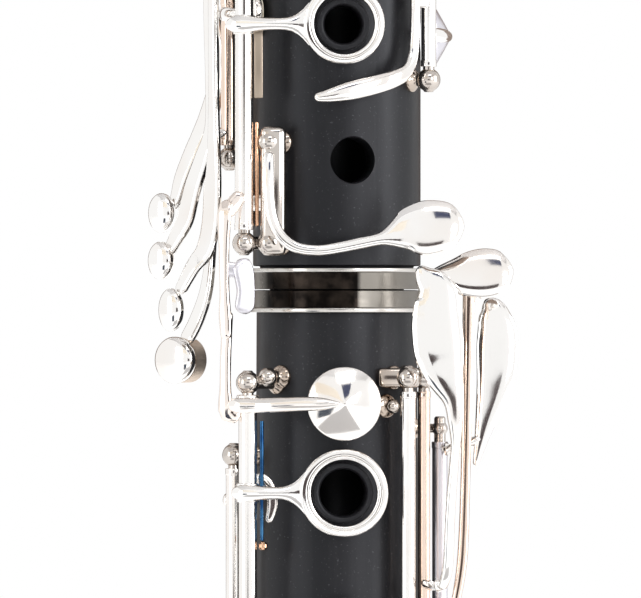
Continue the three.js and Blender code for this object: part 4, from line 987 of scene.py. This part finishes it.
def make_side_keys():
    upper, lower = rod_of("trill_key_upper"), rod_of("trill_key_lower")
    saddle = [slab((-17.4, -3.0, 388.8), (-14.0, 3.6, 392.2), 0.5)]
    hinge("trill_posts", "trill_hinge", [(upper, (390.5, 507.5)), (lower, (390.5, 493.5))], saddle)
    hinge("side_f_sharp_posts", "side_f_sharp_hinge", [(rod_of("side_f_sharp_key"), (396.5, 431))])
    hinge("side_e_flat_posts", "side_e_flat_hinge", [(rod_of("side_e_flat_key"), (355, 384))])
    side_key("trill_key_upper", (392.7, 505.3), "trill_upper", [
        (-21.2, 4.2, 396, 2.2, 1.4), (-21.0, 4.2, 383, 2.2, 1.4), (-20.2, 4.2, 377, 2.4, 1.4),
        (-19.8, 4.2, 373, 3.4, 1.4), (-20.1, 4.2, 367.6, 3.7, 1.4), (-21.5, 4.0, 362.2, 4.2, 1.4),
        (-22.9, 3.8, 359.2, 3.4, 1.4), (-24.4, 3.5, 355.8, 3.3, 1.4), (-26.0, 3.1, 351.6, 3.1, 1.4),
        (-26.9, 2.8, 348.2, 2.5, 1.3), (-28.0, 2.6, 346.4, 2.2, 1.3)],
        (-29.3, 2.2, 345.9, 4.9, 6.6, 1.6))
    side_key("trill_key_lower", (392.7, 491.3), "trill_lower", [
        (-21.3, -3.1, 396, 2.0, 1.4), (-21.3, -3.1, 380, 2.0, 1.3), (-20.9, -3.3, 368, 2.2, 1.4),
        (-20.9, -3.5, 360, 2.6, 1.4), (-22.5, -3.5, 354.5, 3.4, 1.4), (-23.8, -3.4, 350.6, 3.7, 1.4),
        (-24.6, -3.4, 347.4, 3.8, 1.4), (-25.3, -3.4, 344.6, 3.7, 1.4), (-26.7, -3.3, 341.8, 3.0, 1.3),
        (-28.2, -2.9, 338.8, 2.0, 1.3)],
        (-29.3, -3.2, 337.9, 4.7, 6.3, 1.5))
    side_key("side_f_sharp_key", (398.7, 428.8), "side_f_sharp", [
        (-20.6, -7, 402, 1.8, 1.4), (-20.5, -7, 385, 1.8, 1.4), (-20.4, -7, 364, 2.0, 1.4),
        (-20.4, -7, 354, 2.9, 1.4), (-20.6, -7, 350, 3.8, 1.4), (-20.9, -7.1, 344, 4.0, 1.4),
        (-21.9, -7.2, 339.5, 3.9, 1.4), (-23.8, -7.3, 336.9, 3.0, 1.4), (-26.2, -7.4, 332.4, 2.2, 1.3)],
        (-27.5, -7.7, 329.7, 4.5, 7.1, 1.5))
    side_key("side_e_flat_key", (357.2, 381.8), "side_e_flat", [
        (-20.4, 0.9, 358.2, 1.7, 1.2), (-20.4, 0.9, 350, 1.7, 1.2), (-21.0, 0.8, 340, 1.9, 1.3),
        (-21.8, 0.7, 333, 2.5, 1.4), (-23.4, 0.5, 328, 3.0, 1.4), (-25.4, 0, 324, 3.0, 1.4)],
        (-27.0, -0.6, 321.3, 8.0, 7.8, 1.8), -38)
    # the oval's side has shade painted into its plate colour
    base = turned([(0, -4.0), (0.88, -4.0), (0.97, -3.6), (0.97, -0.9), (0, -0.9)],
                  facing(-38, Vector((-27.0, -0.6, 321.3))) @ Matrix.Diagonal((4.0, 3.9, 1, 1)), 48)
    key_detail("side_e_flat_touch_base", "side_e_flat_key", [base], SATIN_SILVER_IN_PAINTED_SIDE_SHADE)


# ------------------------------------------------------------------ throat, register and thumb keys


def cross_place(deg, r, z):
    """A place for a short rod that lies across the bore."""
    return basis(outward(deg), Vector((0, 0, 1)), across(deg) * -1, at(deg, r, z))


def cross_hinge(name, node, deg, r, z, half):
    place = cross_place(deg, r, z)
    shapes = [turned(eased([(0, -half - 2), (0.7, -half - 2), (0.95, -half - 1.7), (0.95, half + 1.7),
                            (0.7, half + 2), (0, half + 2)], 0.1), place, 20)]
    for s in (-half, half):
        spot = at(deg, r, z) + across(deg) * s
        shapes.append(post(spot.x, spot.y, z))
    piece(name, shapes, NICKEL, "body", [node])


def lever_key(key, deg, z, half, tip_z, tip_w, tip_h, pad_name):
    r = UPPER_R + 3.6
    top = r + 1.6
    pad_deg, pad_z, pad_r = {"register": SPEAKER, **UPPER_PADS}[pad_name]
    middle = deg if pad_deg == deg else (deg + pad_deg) / 2
    place = cross_place(deg, r, z)
    sleeve = turned(eased([(0.98, -half + 2.2), (1.75, -half + 2.2), (1.75, half - 2.2), (0.98, half - 2.2),
                            (0.98, -half + 2.2)], 0.15), place, 32)
    up = 1 if pad_z > z else -1
    bar = forged([(*at(deg, top, tip_z + up * tip_h * 0.3), tip_w * 0.7, 1.5),
                  (*at(deg, top + 0.4, (tip_z + z) / 2), 3.0, 1.6), (*at(deg, top + 0.5, z), 3.2, 1.9),
                  (*at(middle, top, (z + pad_z) / 2), 2.4, 1.5), (*at(pad_deg, 17.6, pad_z), 1.0, 0.9)],
                 power=2.0)
    touch = turned([(0, -0.75), (0.86, -0.75), (1.0, -0.3), (1.0, 0.2), (0.9, 0.6), (0.55, 0.85), (0, 0.95)],
                   facing(deg, at(deg, top, tip_z)) @ Matrix.Diagonal((tip_w / 2, tip_h / 2, 1, 1)), 48)
    key_part(key, [sleeve, bar, touch, cup(pad_deg, pad_z, pad_r)])
    key_pad(key + "_pad", key, [pad(pad_deg, pad_z, pad_r)])


def make_throat_and_thumb():
    r = UPPER_R + 3.6
    cross_hinge("throat_a_posts", "throat_a_hinge", 0, r, 476, 5)
    cross_hinge("throat_g_sharp_posts", "throat_g_sharp_hinge", 38, r, 468, 4.6)
    cross_hinge("register_posts", "register_hinge", -168, r, 470, 4.6)
    lever_key("throat_a_key", 0, 476, 5, 457, 6.4, 16, "throat_a")
    lever_key("throat_g_sharp_key", 38, 468, 4.6, 452, 6, 11, "throat_g_sharp")
    lever_key("register_key", -168, 470, 4.6, 437, 6.4, 12, "register")
    axis = rod_of("thumb_ring_key")
    x, y = axis
    hinge("thumb_posts", "thumb_ring_hinge", [(axis, (409, 441))])
    top = UPPER_R + RING_OUT + 0.6
    deg, z, r_pad = UPPER_PADS["thumb_vent"]
    arm = forged([(14.6, 14.9, 419, 2.6, 1.2), (12, 16.0, 419, 3.2, 1.4), (8.6, top, 419, 3.4, 1.3),
                  (5.8, top, 419, 6.0, 1.1)], power=1.9, tips=(True, False))
    pad_arm = forged([(14.4, 14.4, z, 1.6, 1.2), (12.4, 16.4, z, 2.4, 1.4), (9.4, 17.8, z, 1.2, 1.0)],
                     power=1.9)
    key_part("thumb_ring_key", [tube(x, y, 411.2, 438.8), arm, pad_arm, finger_ring(180, THUMB),
                                cup(deg, z, r_pad, 1.2), collar(x, y, 419, 3.4), collar(x, y, z, 2.8)])
    key_pad("thumb_vent_pad", "thumb_ring_key", [pad(deg, z, r_pad, 1.2)])


# ------------------------------------------------------------------ right-hand stack


def make_right_front():
    axis = rod_of("rh_ring_key")
    x, y = axis
    spare = [post(-11.4, -12.2, 318.6, 1.6, 2.0)]
    hinge("right_front_posts", "rh_ring_hinge", [(axis, (243, 317.7))], spare)
    deg, z, r = LOWER_PADS["rh_top"]
    arm = forged([(x - 3.2, y - 1.0, z - 0.3, 1.6, 1.0), (x - 1.6, y - 2.3, z - 0.3, 2.5, 1.5),
                  (x + 1, y - 2.8, z - 0.3, 2.5, 1.8), (x + 5, y - 4.4, z - 0.2, 2.4, 1.7),
                  (-5.5, -19.0, z, 2.4, 1.5), (-2.2, -19.5, z, 2.0, 1.3), (0.6, -19.7, z, 0.6, 0.6)],
                 power=1.75)
    tab = forged([(x - 1.2, y - 1.0, 312.4, 2.4, 1.2), (x - 3.4, -14.2, 312.8, 2.8, 1.2),
                  (x - 3.7, -14.2, 317, 1.9, 1.2), (x - 3.6, -14.0, 323, 1.8, 1.2),
                  (x - 3.2, -13.9, 329.5, 1.6, 1.1)], face=ASIDE, power=3)
    # the tab has pale rosy shade painted into its plate colour
    key_detail("rh_bridge_tab", "rh_ring_key", [tab], SILVER_IN_PAINTED_PALE_ROSY_SHADE)
    cradle = forged([(x + 1.2, -12.3, 301.6, 1.6, 0.8), (-12.2, -11.9, 301.9, 1.7, 0.8),
                     (-11.0, -11.8, 300.2, 1.8, 0.7), (-10.6, -11.8, 297.6, 1.8, 0.7),
                     (-11.3, -11.9, 294.6, 1.1, 0.7)], face=FRONT, pitch=0.5)
    shapes = [tube(x, y, 245.2, 315.5), cup(deg, z, r, 2.1, 3.4), arm, collar(x, y, z, 2.8), cradle]
    for spec in RH:
        shapes += [finger_ring(HOLE_LINE, spec), *ring_arm(x, y, spec, over=-2.6, tall=(1.4, 2.6, 2.2, 2.2))]
    key_part("rh_ring_key", shapes)
    key_pad("rh_top_pad", "rh_ring_key", [pad(deg, z, r, 2.1)])
    wire = [(0, 291.5), (0.3, 291.7), (0.36, 305), (0.36, 311.4), (0, 311.4)]
    piece("rh_needle_spring", [turned(eased(wire, 0.05), lifted(-12.4, -13.4), 12)], BLUED, "body",
          ["rh_ring_needle_spring"])
    bead = [(0, -0.8), (0.5, -0.62), (0.76, -0.25), (0.76, 0.25), (0.5, 0.62), (0, 0.8)]
    piece("rh_spring_bead", [turned(bead, lifted(-12.2, -13.2, 290.8), 20)], BRONZE, "body")

    axis = rod_of("b_natural_key")
    x, y = axis
    hinge("b_natural_posts", "b_sliver_hinge", [(axis, (263, 305.5))])
    deg, z, r = LOWER_PADS["b_natural"]
    arm = forged([(*at(-80, 18.8, z), 2.0, 1.2), (*at(-92, 18, z), 2.3, 1.3), (*at(-104, 17, z), 1.0, 0.9)],
                 power=1.9)
    zl = 267.2
    lever = forged([(*at(-80, 18.6, zl), 2.0, 1.3), (*at(-62, 16.6, zl), 2.2, 1.4),
                    (*at(-47, 16.3, zl), 2.2, 1.4), (*at(-27, 17.4, zl - 3), 2.6, 1.4),
                    (*at(-8, 17.7, zl - 4), 3.0, 1.5), (*at(9, 17.7, zl - 4.6), 1.6, 1.2)], power=2.1)
    key_part("b_natural_key", [tube(x, y, 265.2, 303.3, 1.4), arm, lever, cup(deg, z, r)])
    key_pad("b_natural_pad", "b_natural_key", [pad(deg, z, r)])


# ------------------------------------------------------------------ right little finger

OPEN = 8  # degrees that an open-standing key stands away from its hole
EAR_Y = -18.9  # the ears of the right-hand keys, and under them the feet of the left-hand levers
FOOT_Y = -17.3
EARS = {"e": 203, "f_sharp": 213.5, "f": 220.6}


def pinky_key(key, pad_name, tube_z, touch_at, ear_z, side):
    """A low key: cup arm, touch, and the ear that its left-hand lever lifts; `side` leads to the ear."""
    axis = rod_of(key)
    x, y = axis
    rod_deg = angle_of(x, y)
    pad_deg, z, r = LOWER_PADS[pad_name]
    swing = lifted(x, y) @ Matrix.Rotation(radians(OPEN), 4, "Z") @ lifted(-x, -y)
    arm = forged([(*at(rod_deg, 20.0, z), 2.2, 1.3), (*at((rod_deg * 2 + pad_deg) / 3, 18.9, z), 2.8, 1.5),
                  (*at((rod_deg + pad_deg * 2) / 3, 18.6, z), 2.6, 1.5),
                  (*at(pad_deg + 6, 18.0, z), 2.0, 1.3), (*at(pad_deg, 17.9, z), 0.9, 0.9)], power=1.9)
    tx, ty, tz = touch_at
    reach = forged([(x + 0.6, y - 1.8, tz, 2.4, 1.3), (x - 4, y - 2.3, tz, 3.0, 1.5),
                    (tx + 4, ty - 0.2, tz, 4.0, 1.5), (tx + 1, ty, tz, 6.2, 1.6), (tx - 4, ty, tz, 5.6, 1.5)],
                   face=FRONT, power=2.4, back=0.7)
    lift = EAR_Y - (0.5 - x) * sin(radians(OPEN))
    ear = forged([(x, y - 1.0, ear_z, 2.2, 1.2), *[(a, b, ear_z, 2.4, 1.2) for a, b in side],
                  (-3.5, lift + 0.1, ear_z, 2.4, 1.2), (0.5, lift, ear_z, 2.0, 1.1)])
    shapes = moved([tube(x, y, *tube_z, 1.55), arm, reach, ear, cup(pad_deg, z, r), collar(x, y, z, 2.8)],
                   swing)
    key_part(key, shapes)
    key_pad(key + "_pad", key, moved([pad(pad_deg, z, r)], swing))


def make_little_finger():
    e_rod, f_sharp_rod, f_rod = rod_of("e_key"), rod_of("f_sharp_key"), rod_of("f_key")
    hinge("little_finger_front_posts", "pinky_hinge_front", [(e_rod, (143.5, 208, 237.5))])
    hinge("little_finger_side_posts", "pinky_hinge_side",
          [(f_sharp_rod, (162.5, 232)), (f_rod, (182.5, 232))])
    pinky_key("e_key", "e", (145.7, 205.8), (-28, -15.5, 203), EARS["e"], [(-7.5, -18.6)])
    pinky_key("f_sharp_key", "f_sharp", (164.7, 229.8), (-28.4, -12.5, 212), EARS["f_sharp"],
              [(-14.6, -15.5), (-12.4, -18.8)])
    pinky_key("f_key", "f", (184.7, 229.8), (-28, -9.2, 221), EARS["f"],
              [(-17.9, -12.5), (-16.2, -16.6), (-11.5, -20.2)])
    x, y = e_rod
    deg, z, r = LOWER_PADS["a_flat"]
    arm = forged([(x - 0.8, y - 1.9, z, 2.2, 1.2), (x + 3, -17.8, z, 2.6, 1.4), (-2, -17.8, z, 2.0, 1.3),
                  (0.8, -17.6, z, 0.9, 0.9)], power=1.9)
    reach = forged([(x, y - 1.9, 230, 2.4, 1.3), (x - 5, y - 2.4, 230, 3.0, 1.5),
                    (-22.4, -15.5, 230, 4.6, 1.5), (-25.6, -15.4, 230, 6.4, 1.6),
                    (-30.4, -15.4, 230, 5.6, 1.5)], face=FRONT, power=2.4, back=0.7)
    key_part("a_flat_key", [tube(x, y, 210.2, 235.3, 1.55), arm, reach, cup(deg, z, r)])
    key_pad("a_flat_pad", "a_flat_key", [pad(deg, z, r)])


# ------------------------------------------------------------------ left little finger levers


def lever_foot(x, y, z, over):
    """The foot that reaches from a lever's tube past `over` other rods, to under its key's ear."""
    start = [(x + 0.6, y - 1.5, z), (17.6, -9.6, z)] if over == 2 else [(x, y - 1.6, z)]
    lane = [] if over == 0 else [(14.6, -13.6, z), (11.4, -16, z)]
    run = [*start, *lane, (7, FOOT_Y, z), (2, FOOT_Y, z), (-0.5, FOOT_Y, z)]
    return forged([(*p, 2.4 if k < len(run) - 1 else 1.8, 1.15) for k, p in enumerate(run)])


def make_left_levers():
    l1, l2, l3 = rod_of("left_e_lever"), rod_of("left_f_sharp_lever"), rod_of("left_f_lever")
    saddles = [slab((6.8, -12.9, z - 1.6), (13.6, -7.6, z + 1.6), 0.6) for z in (318.5, 199)]
    spare = [post(9.2, -12.4, 313.8, 1.2, 2.0)]
    hinge("left_lever_front_posts", "left_lever_hinge_front", [(l1, (199, 318.5)), (l2, (199, 318.5))],
          [*saddles, *spare])
    shaft = rod(*l3, 216.5, 310)
    piece("left_lever_side_posts", [shaft, post(*l3, 216.5, 1.5), post(*l3, 310, 1.3, 1.7)], NICKEL, "body",
          ["left_lever_hinge_side"])

    touch = forged([(15.6, -12.4, 335.7, 1.2, 1.2), (17.7, -12.4, 335.7, 3.6, 1.5),
                    (20.6, -12.4, 335.5, 7.0, 1.9), (24.0, -12.4, 335.7, 8.4, 2.1),
                    (26.9, -12.4, 336.0, 7.4, 2.0), (29.1, -12.3, 336.3, 4.6, 1.6)], face=TILTED, power=2.2,
                   back=0.6, pitch=0.6)
    stem = forged([(22.0, -12.2, 334, 2.4, 1.5), (21.75, -12.3, 331.4, 2.0, 1.6),
                   (21.5, -12.3, 318.2, 1.8, 1.7), (21.2, -12.3, 302.5, 1.6, 1.6),
                   (20.7, -12.3, 289, 1.7, 1.6), (19.6, -12.5, 281.6, 1.5, 1.6),
                   (18.9, -12.9, 278.6, 1.4, 1.5)], face=FRONT, power=3)
    root = forged([(12.2, -14.0, 279, 2.4, 1.4), (16, -14.4, 279, 2.6, 1.5), (19.8, -12.9, 279, 2.0, 1.4)])
    x, y = l1
    key_part("left_e_lever", [tube(x, y, 203.2, 316.2, 1.34), touch, root, lever_foot(x, y, EARS["e"], 0)])
    # the stem has rosy shade painted into its plate colour
    key_detail("left_e_lever_stem", "left_e_lever", [stem], SILVER_IN_PAINTED_ROSY_SHADE)

    leaf = forged([
        (13.5, -14.7, 336.9, 1.2, 1.2), (14.3, -14.9, 335.5, 3.4, 1.5), (15.8, -15.1, 333.8, 5.8, 1.8),
        (16.5, -15.3, 331.8, 7.0, 2.0), (16.4, -15.5, 329.6, 7.8, 2.1), (16.4, -15.8, 326.9, 8.3, 2.2),
        (16.7, -16.2, 323.3, 8.3, 2.2), (17.1, -16.4, 321.0, 7.5, 2.1), (17.8, -16.7, 318.5, 6.05, 2.0),
        (19.1, -17.0, 314.9, 3.5, 1.8), (19.4, -17.1, 311.6, 2.5, 1.6), (19.5, -17.0, 309.1, 1.9, 1.5),
        (19.4, -16.8, 306.8, 1.55, 1.5), (18.6, -15.9, 296.8, 1.65, 1.5), (18.2, -15.0, 287.4, 1.7, 1.5),
        (17.2, -13.4, 283.6, 1.6, 1.4)], face=FRONT, power=2.3, back=0.6, pitch=0.6)
    root = forged([(14.2, -11.0, 284.4, 2.6, 1.4), (15.8, -12.4, 284.2, 2.6, 1.4),
                   (17.4, -13.6, 284.2, 2.0, 1.4)])
    x, y = l2
    key_part("left_f_sharp_lever", [leaf, root, lever_foot(x, y, EARS["f_sharp"], 1)])
    # the tube has rosy shade painted into its plate colour
    key_detail("left_f_sharp_lever_tube", "left_f_sharp_lever", [tube(x, y, 203.2, 316.2, 1.1)], SILVER_IN_PAINTED_ROSY_SHADE)

    leaf = forged([
        (24.7, -7.2, 331.5, 1.4, 1.1), (25.7, -7.4, 330.0, 4.2, 1.5), (26.2, -7.6, 328.1, 5.7, 1.8),
        (26.6, -7.8, 325.7, 6.7, 2.0), (26.6, -8.0, 323.3, 6.9, 2.0), (26.4, -8.3, 319.2, 6.5, 2.0),
        (25.7, -8.6, 315.5, 5.3, 1.8), (24.7, -8.9, 311.6, 3.6, 1.6), (23.9, -9.1, 308.3, 2.3, 1.4),
        (22.9, -9.3, 303.9, 0.9, 1.0)], face=FRONT, power=2.3, back=0.6, pitch=0.6)
    root = forged([(17.4, -7.4, 306.6, 2.6, 1.4), (20, -8.4, 306.8, 2.6, 1.4), (24.2, -9.1, 308.4, 2.0, 1.3)])
    x, y = l3
    key_part("left_f_lever", [leaf, root, lever_foot(x, y, EARS["f"], 2)])
    # the tube has grey shade painted into its plate colour
    key_detail("left_f_lever_tube", "left_f_lever", [tube(x, y, 218.7, 307.8, 1.34)], DULLED_SILVER_IN_PAINTED_GREY_SHADE)


make_body()
make_barrel_set()
make_thumb_rest()
make_left_front()
make_e_flat()
make_side_keys()
make_throat_and_thumb()
make_right_front()
make_little_finger()
make_left_levers()

# ------------------------------------------------------------------ studio


def plain(name, colour, glow=0.0):
    made = bpy.data.materials.new(name)
    made.use_nodes = True
    shader = made.node_tree.nodes["Principled BSDF"]
    shader.inputs["Base Color"].default_value = colour
    shader.inputs["Roughness"].default_value = 0.7
    shader.inputs["Emission Color"].default_value = colour
    shader.inputs["Emission Strength"].default_value = glow
    return made


def card(name, where, size, look_at, finish, seen=False):
    """A flat card for the polished metal to reflect; only the floor is seen itself."""
    bm = bmesh.new()
    bmesh.ops.create_grid(bm, x_segments=1, y_segments=1, size=0.5)
    bmesh.ops.scale(bm, vec=(size[0], size[1], 1), verts=bm.verts)
    turn = (Vector(where) - Vector(look_at)).to_track_quat("Z", "Y").to_matrix().to_4x4()
    bmesh.ops.transform(bm, matrix=Matrix.Translation(where) @ turn, verts=bm.verts)
    mesh = bpy.data.meshes.new(name)
    bm.to_mesh(mesh)
    bm.free()
    thing = bpy.data.objects.new(name, mesh)
    bpy.context.scene.collection.objects.link(thing)
    thing.data.materials.append(finish)
    thing.visible_camera = seen
    thing.visible_shadow = seen
    thing.visible_diffuse = seen
    return thing


def softbox(name, where, size, look_at, power):
    light = bpy.data.lights.new(name, "AREA")
    light.shape, light.size, light.size_y, light.energy = "RECTANGLE", size[0], size[1], power
    thing = bpy.data.objects.new(name, light)
    thing.location = where
    thing.rotation_euler = (Vector(where) - Vector(look_at)).to_track_quat("Z", "Y").to_euler()
    bpy.context.scene.collection.objects.link(thing)


MIDDLE = Vector((0, 0, 0.33))
CUP_VIEW = radians(37)  # how far off the line of sight a pad cup's flank looks


def flank_spot(clock, distance):
    """Where a pad cup's flank looks, for a direction round its cone in degrees clockwise from the top."""
    a = radians(clock)
    return MIDDLE + Vector((sin(CUP_VIEW) * sin(a), -cos(CUP_VIEW), sin(CUP_VIEW) * cos(a))) * distance


card("pale_floor", (0, 0, -0.0002), (8, 8), (0, 0, -1),
     plain("pale_floor_paint", rgb(0.84, 0.84, 0.84), 0.19), True)
card("cloth_behind", (0, 1.5, 0.6), (2.2, 3.0), MIDDLE, plain("brown_cloth", rgb(0.20, 0.155, 0.13)))
card("grey_ceiling", (0, -0.2, 2.3), (4.2, 3.0), MIDDLE, plain("grey_ceiling_cloth", rgb(0.55, 0.54, 0.54)))
card("dark_gap", (0, -1.9, 0.33), (0.80, 0.31), MIDDLE, plain("dark_gap_cloth", rgb(0.035, 0.022, 0.022)))
card("navy_flag", flank_spot(17, 1.5), (0.50, 0.26), MIDDLE,
     plain("navy_flag_cloth", rgb(0.022, 0.032, 0.085)))
card("dark_flag", flank_spot(-121, 0.52), (0.13, 0.13), MIDDLE,
     plain("dark_flag_cloth", rgb(0.03, 0.045, 0.07)))
card("cream_screen", flank_spot(-48, 1.5), (0.75, 0.42), MIDDLE,
     plain("cream_screen_cloth", rgb(0.72, 0.66, 0.57)))
card("grey_mat", (-0.02, -0.42, 0.02), (0.5, 0.36), (-0.02, -0.42, -1),
     plain("grey_mat_cloth", rgb(0.42, 0.41, 0.41)))

softbox("right_softbox", (2.2, -0.7, 0.6), (1.0, 2.0), MIDDLE, 34)
softbox("front_right_softbox", (1.2, -1.8, 0.75), (0.7, 0.8), MIDDLE, 9)
softbox("left_softbox", (-2.0, -1.5, 0.7), (0.9, 1.6), MIDDLE, 9)
softbox("top_softbox", (0.3, -1.4, 2.2), (1.2, 0.8), MIDDLE, 10)

world = bpy.data.worlds.new("white_studio")
world.use_nodes = True
sky = world.node_tree.nodes["Background"]
sky.inputs["Color"].default_value = (1, 1, 1, 1)
sky.inputs["Strength"].default_value = 1.0
bpy.context.scene.world = world
bpy.context.scene.view_settings.view_transform = "Standard"
bpy.context.scene.view_settings.look = "None"

FRONT_PLANE = -0.014
DISTANCE = 1.0
SEEN_WIDTH = 0.1056
lens = bpy.data.cameras.new("camera")
lens.sensor_width = 36
lens.lens = 36 * DISTANCE / SEEN_WIDTH
lens.clip_start, lens.clip_end = 0.05, 60
camera = bpy.data.objects.new("camera", lens)
camera.location = (-0.00272, FRONT_PLANE - DISTANCE, 0.3315)
camera.rotation_euler = (pi / 2, 0, 0)
bpy.context.scene.collection.objects.link(camera)
bpy.context.scene.camera = camera
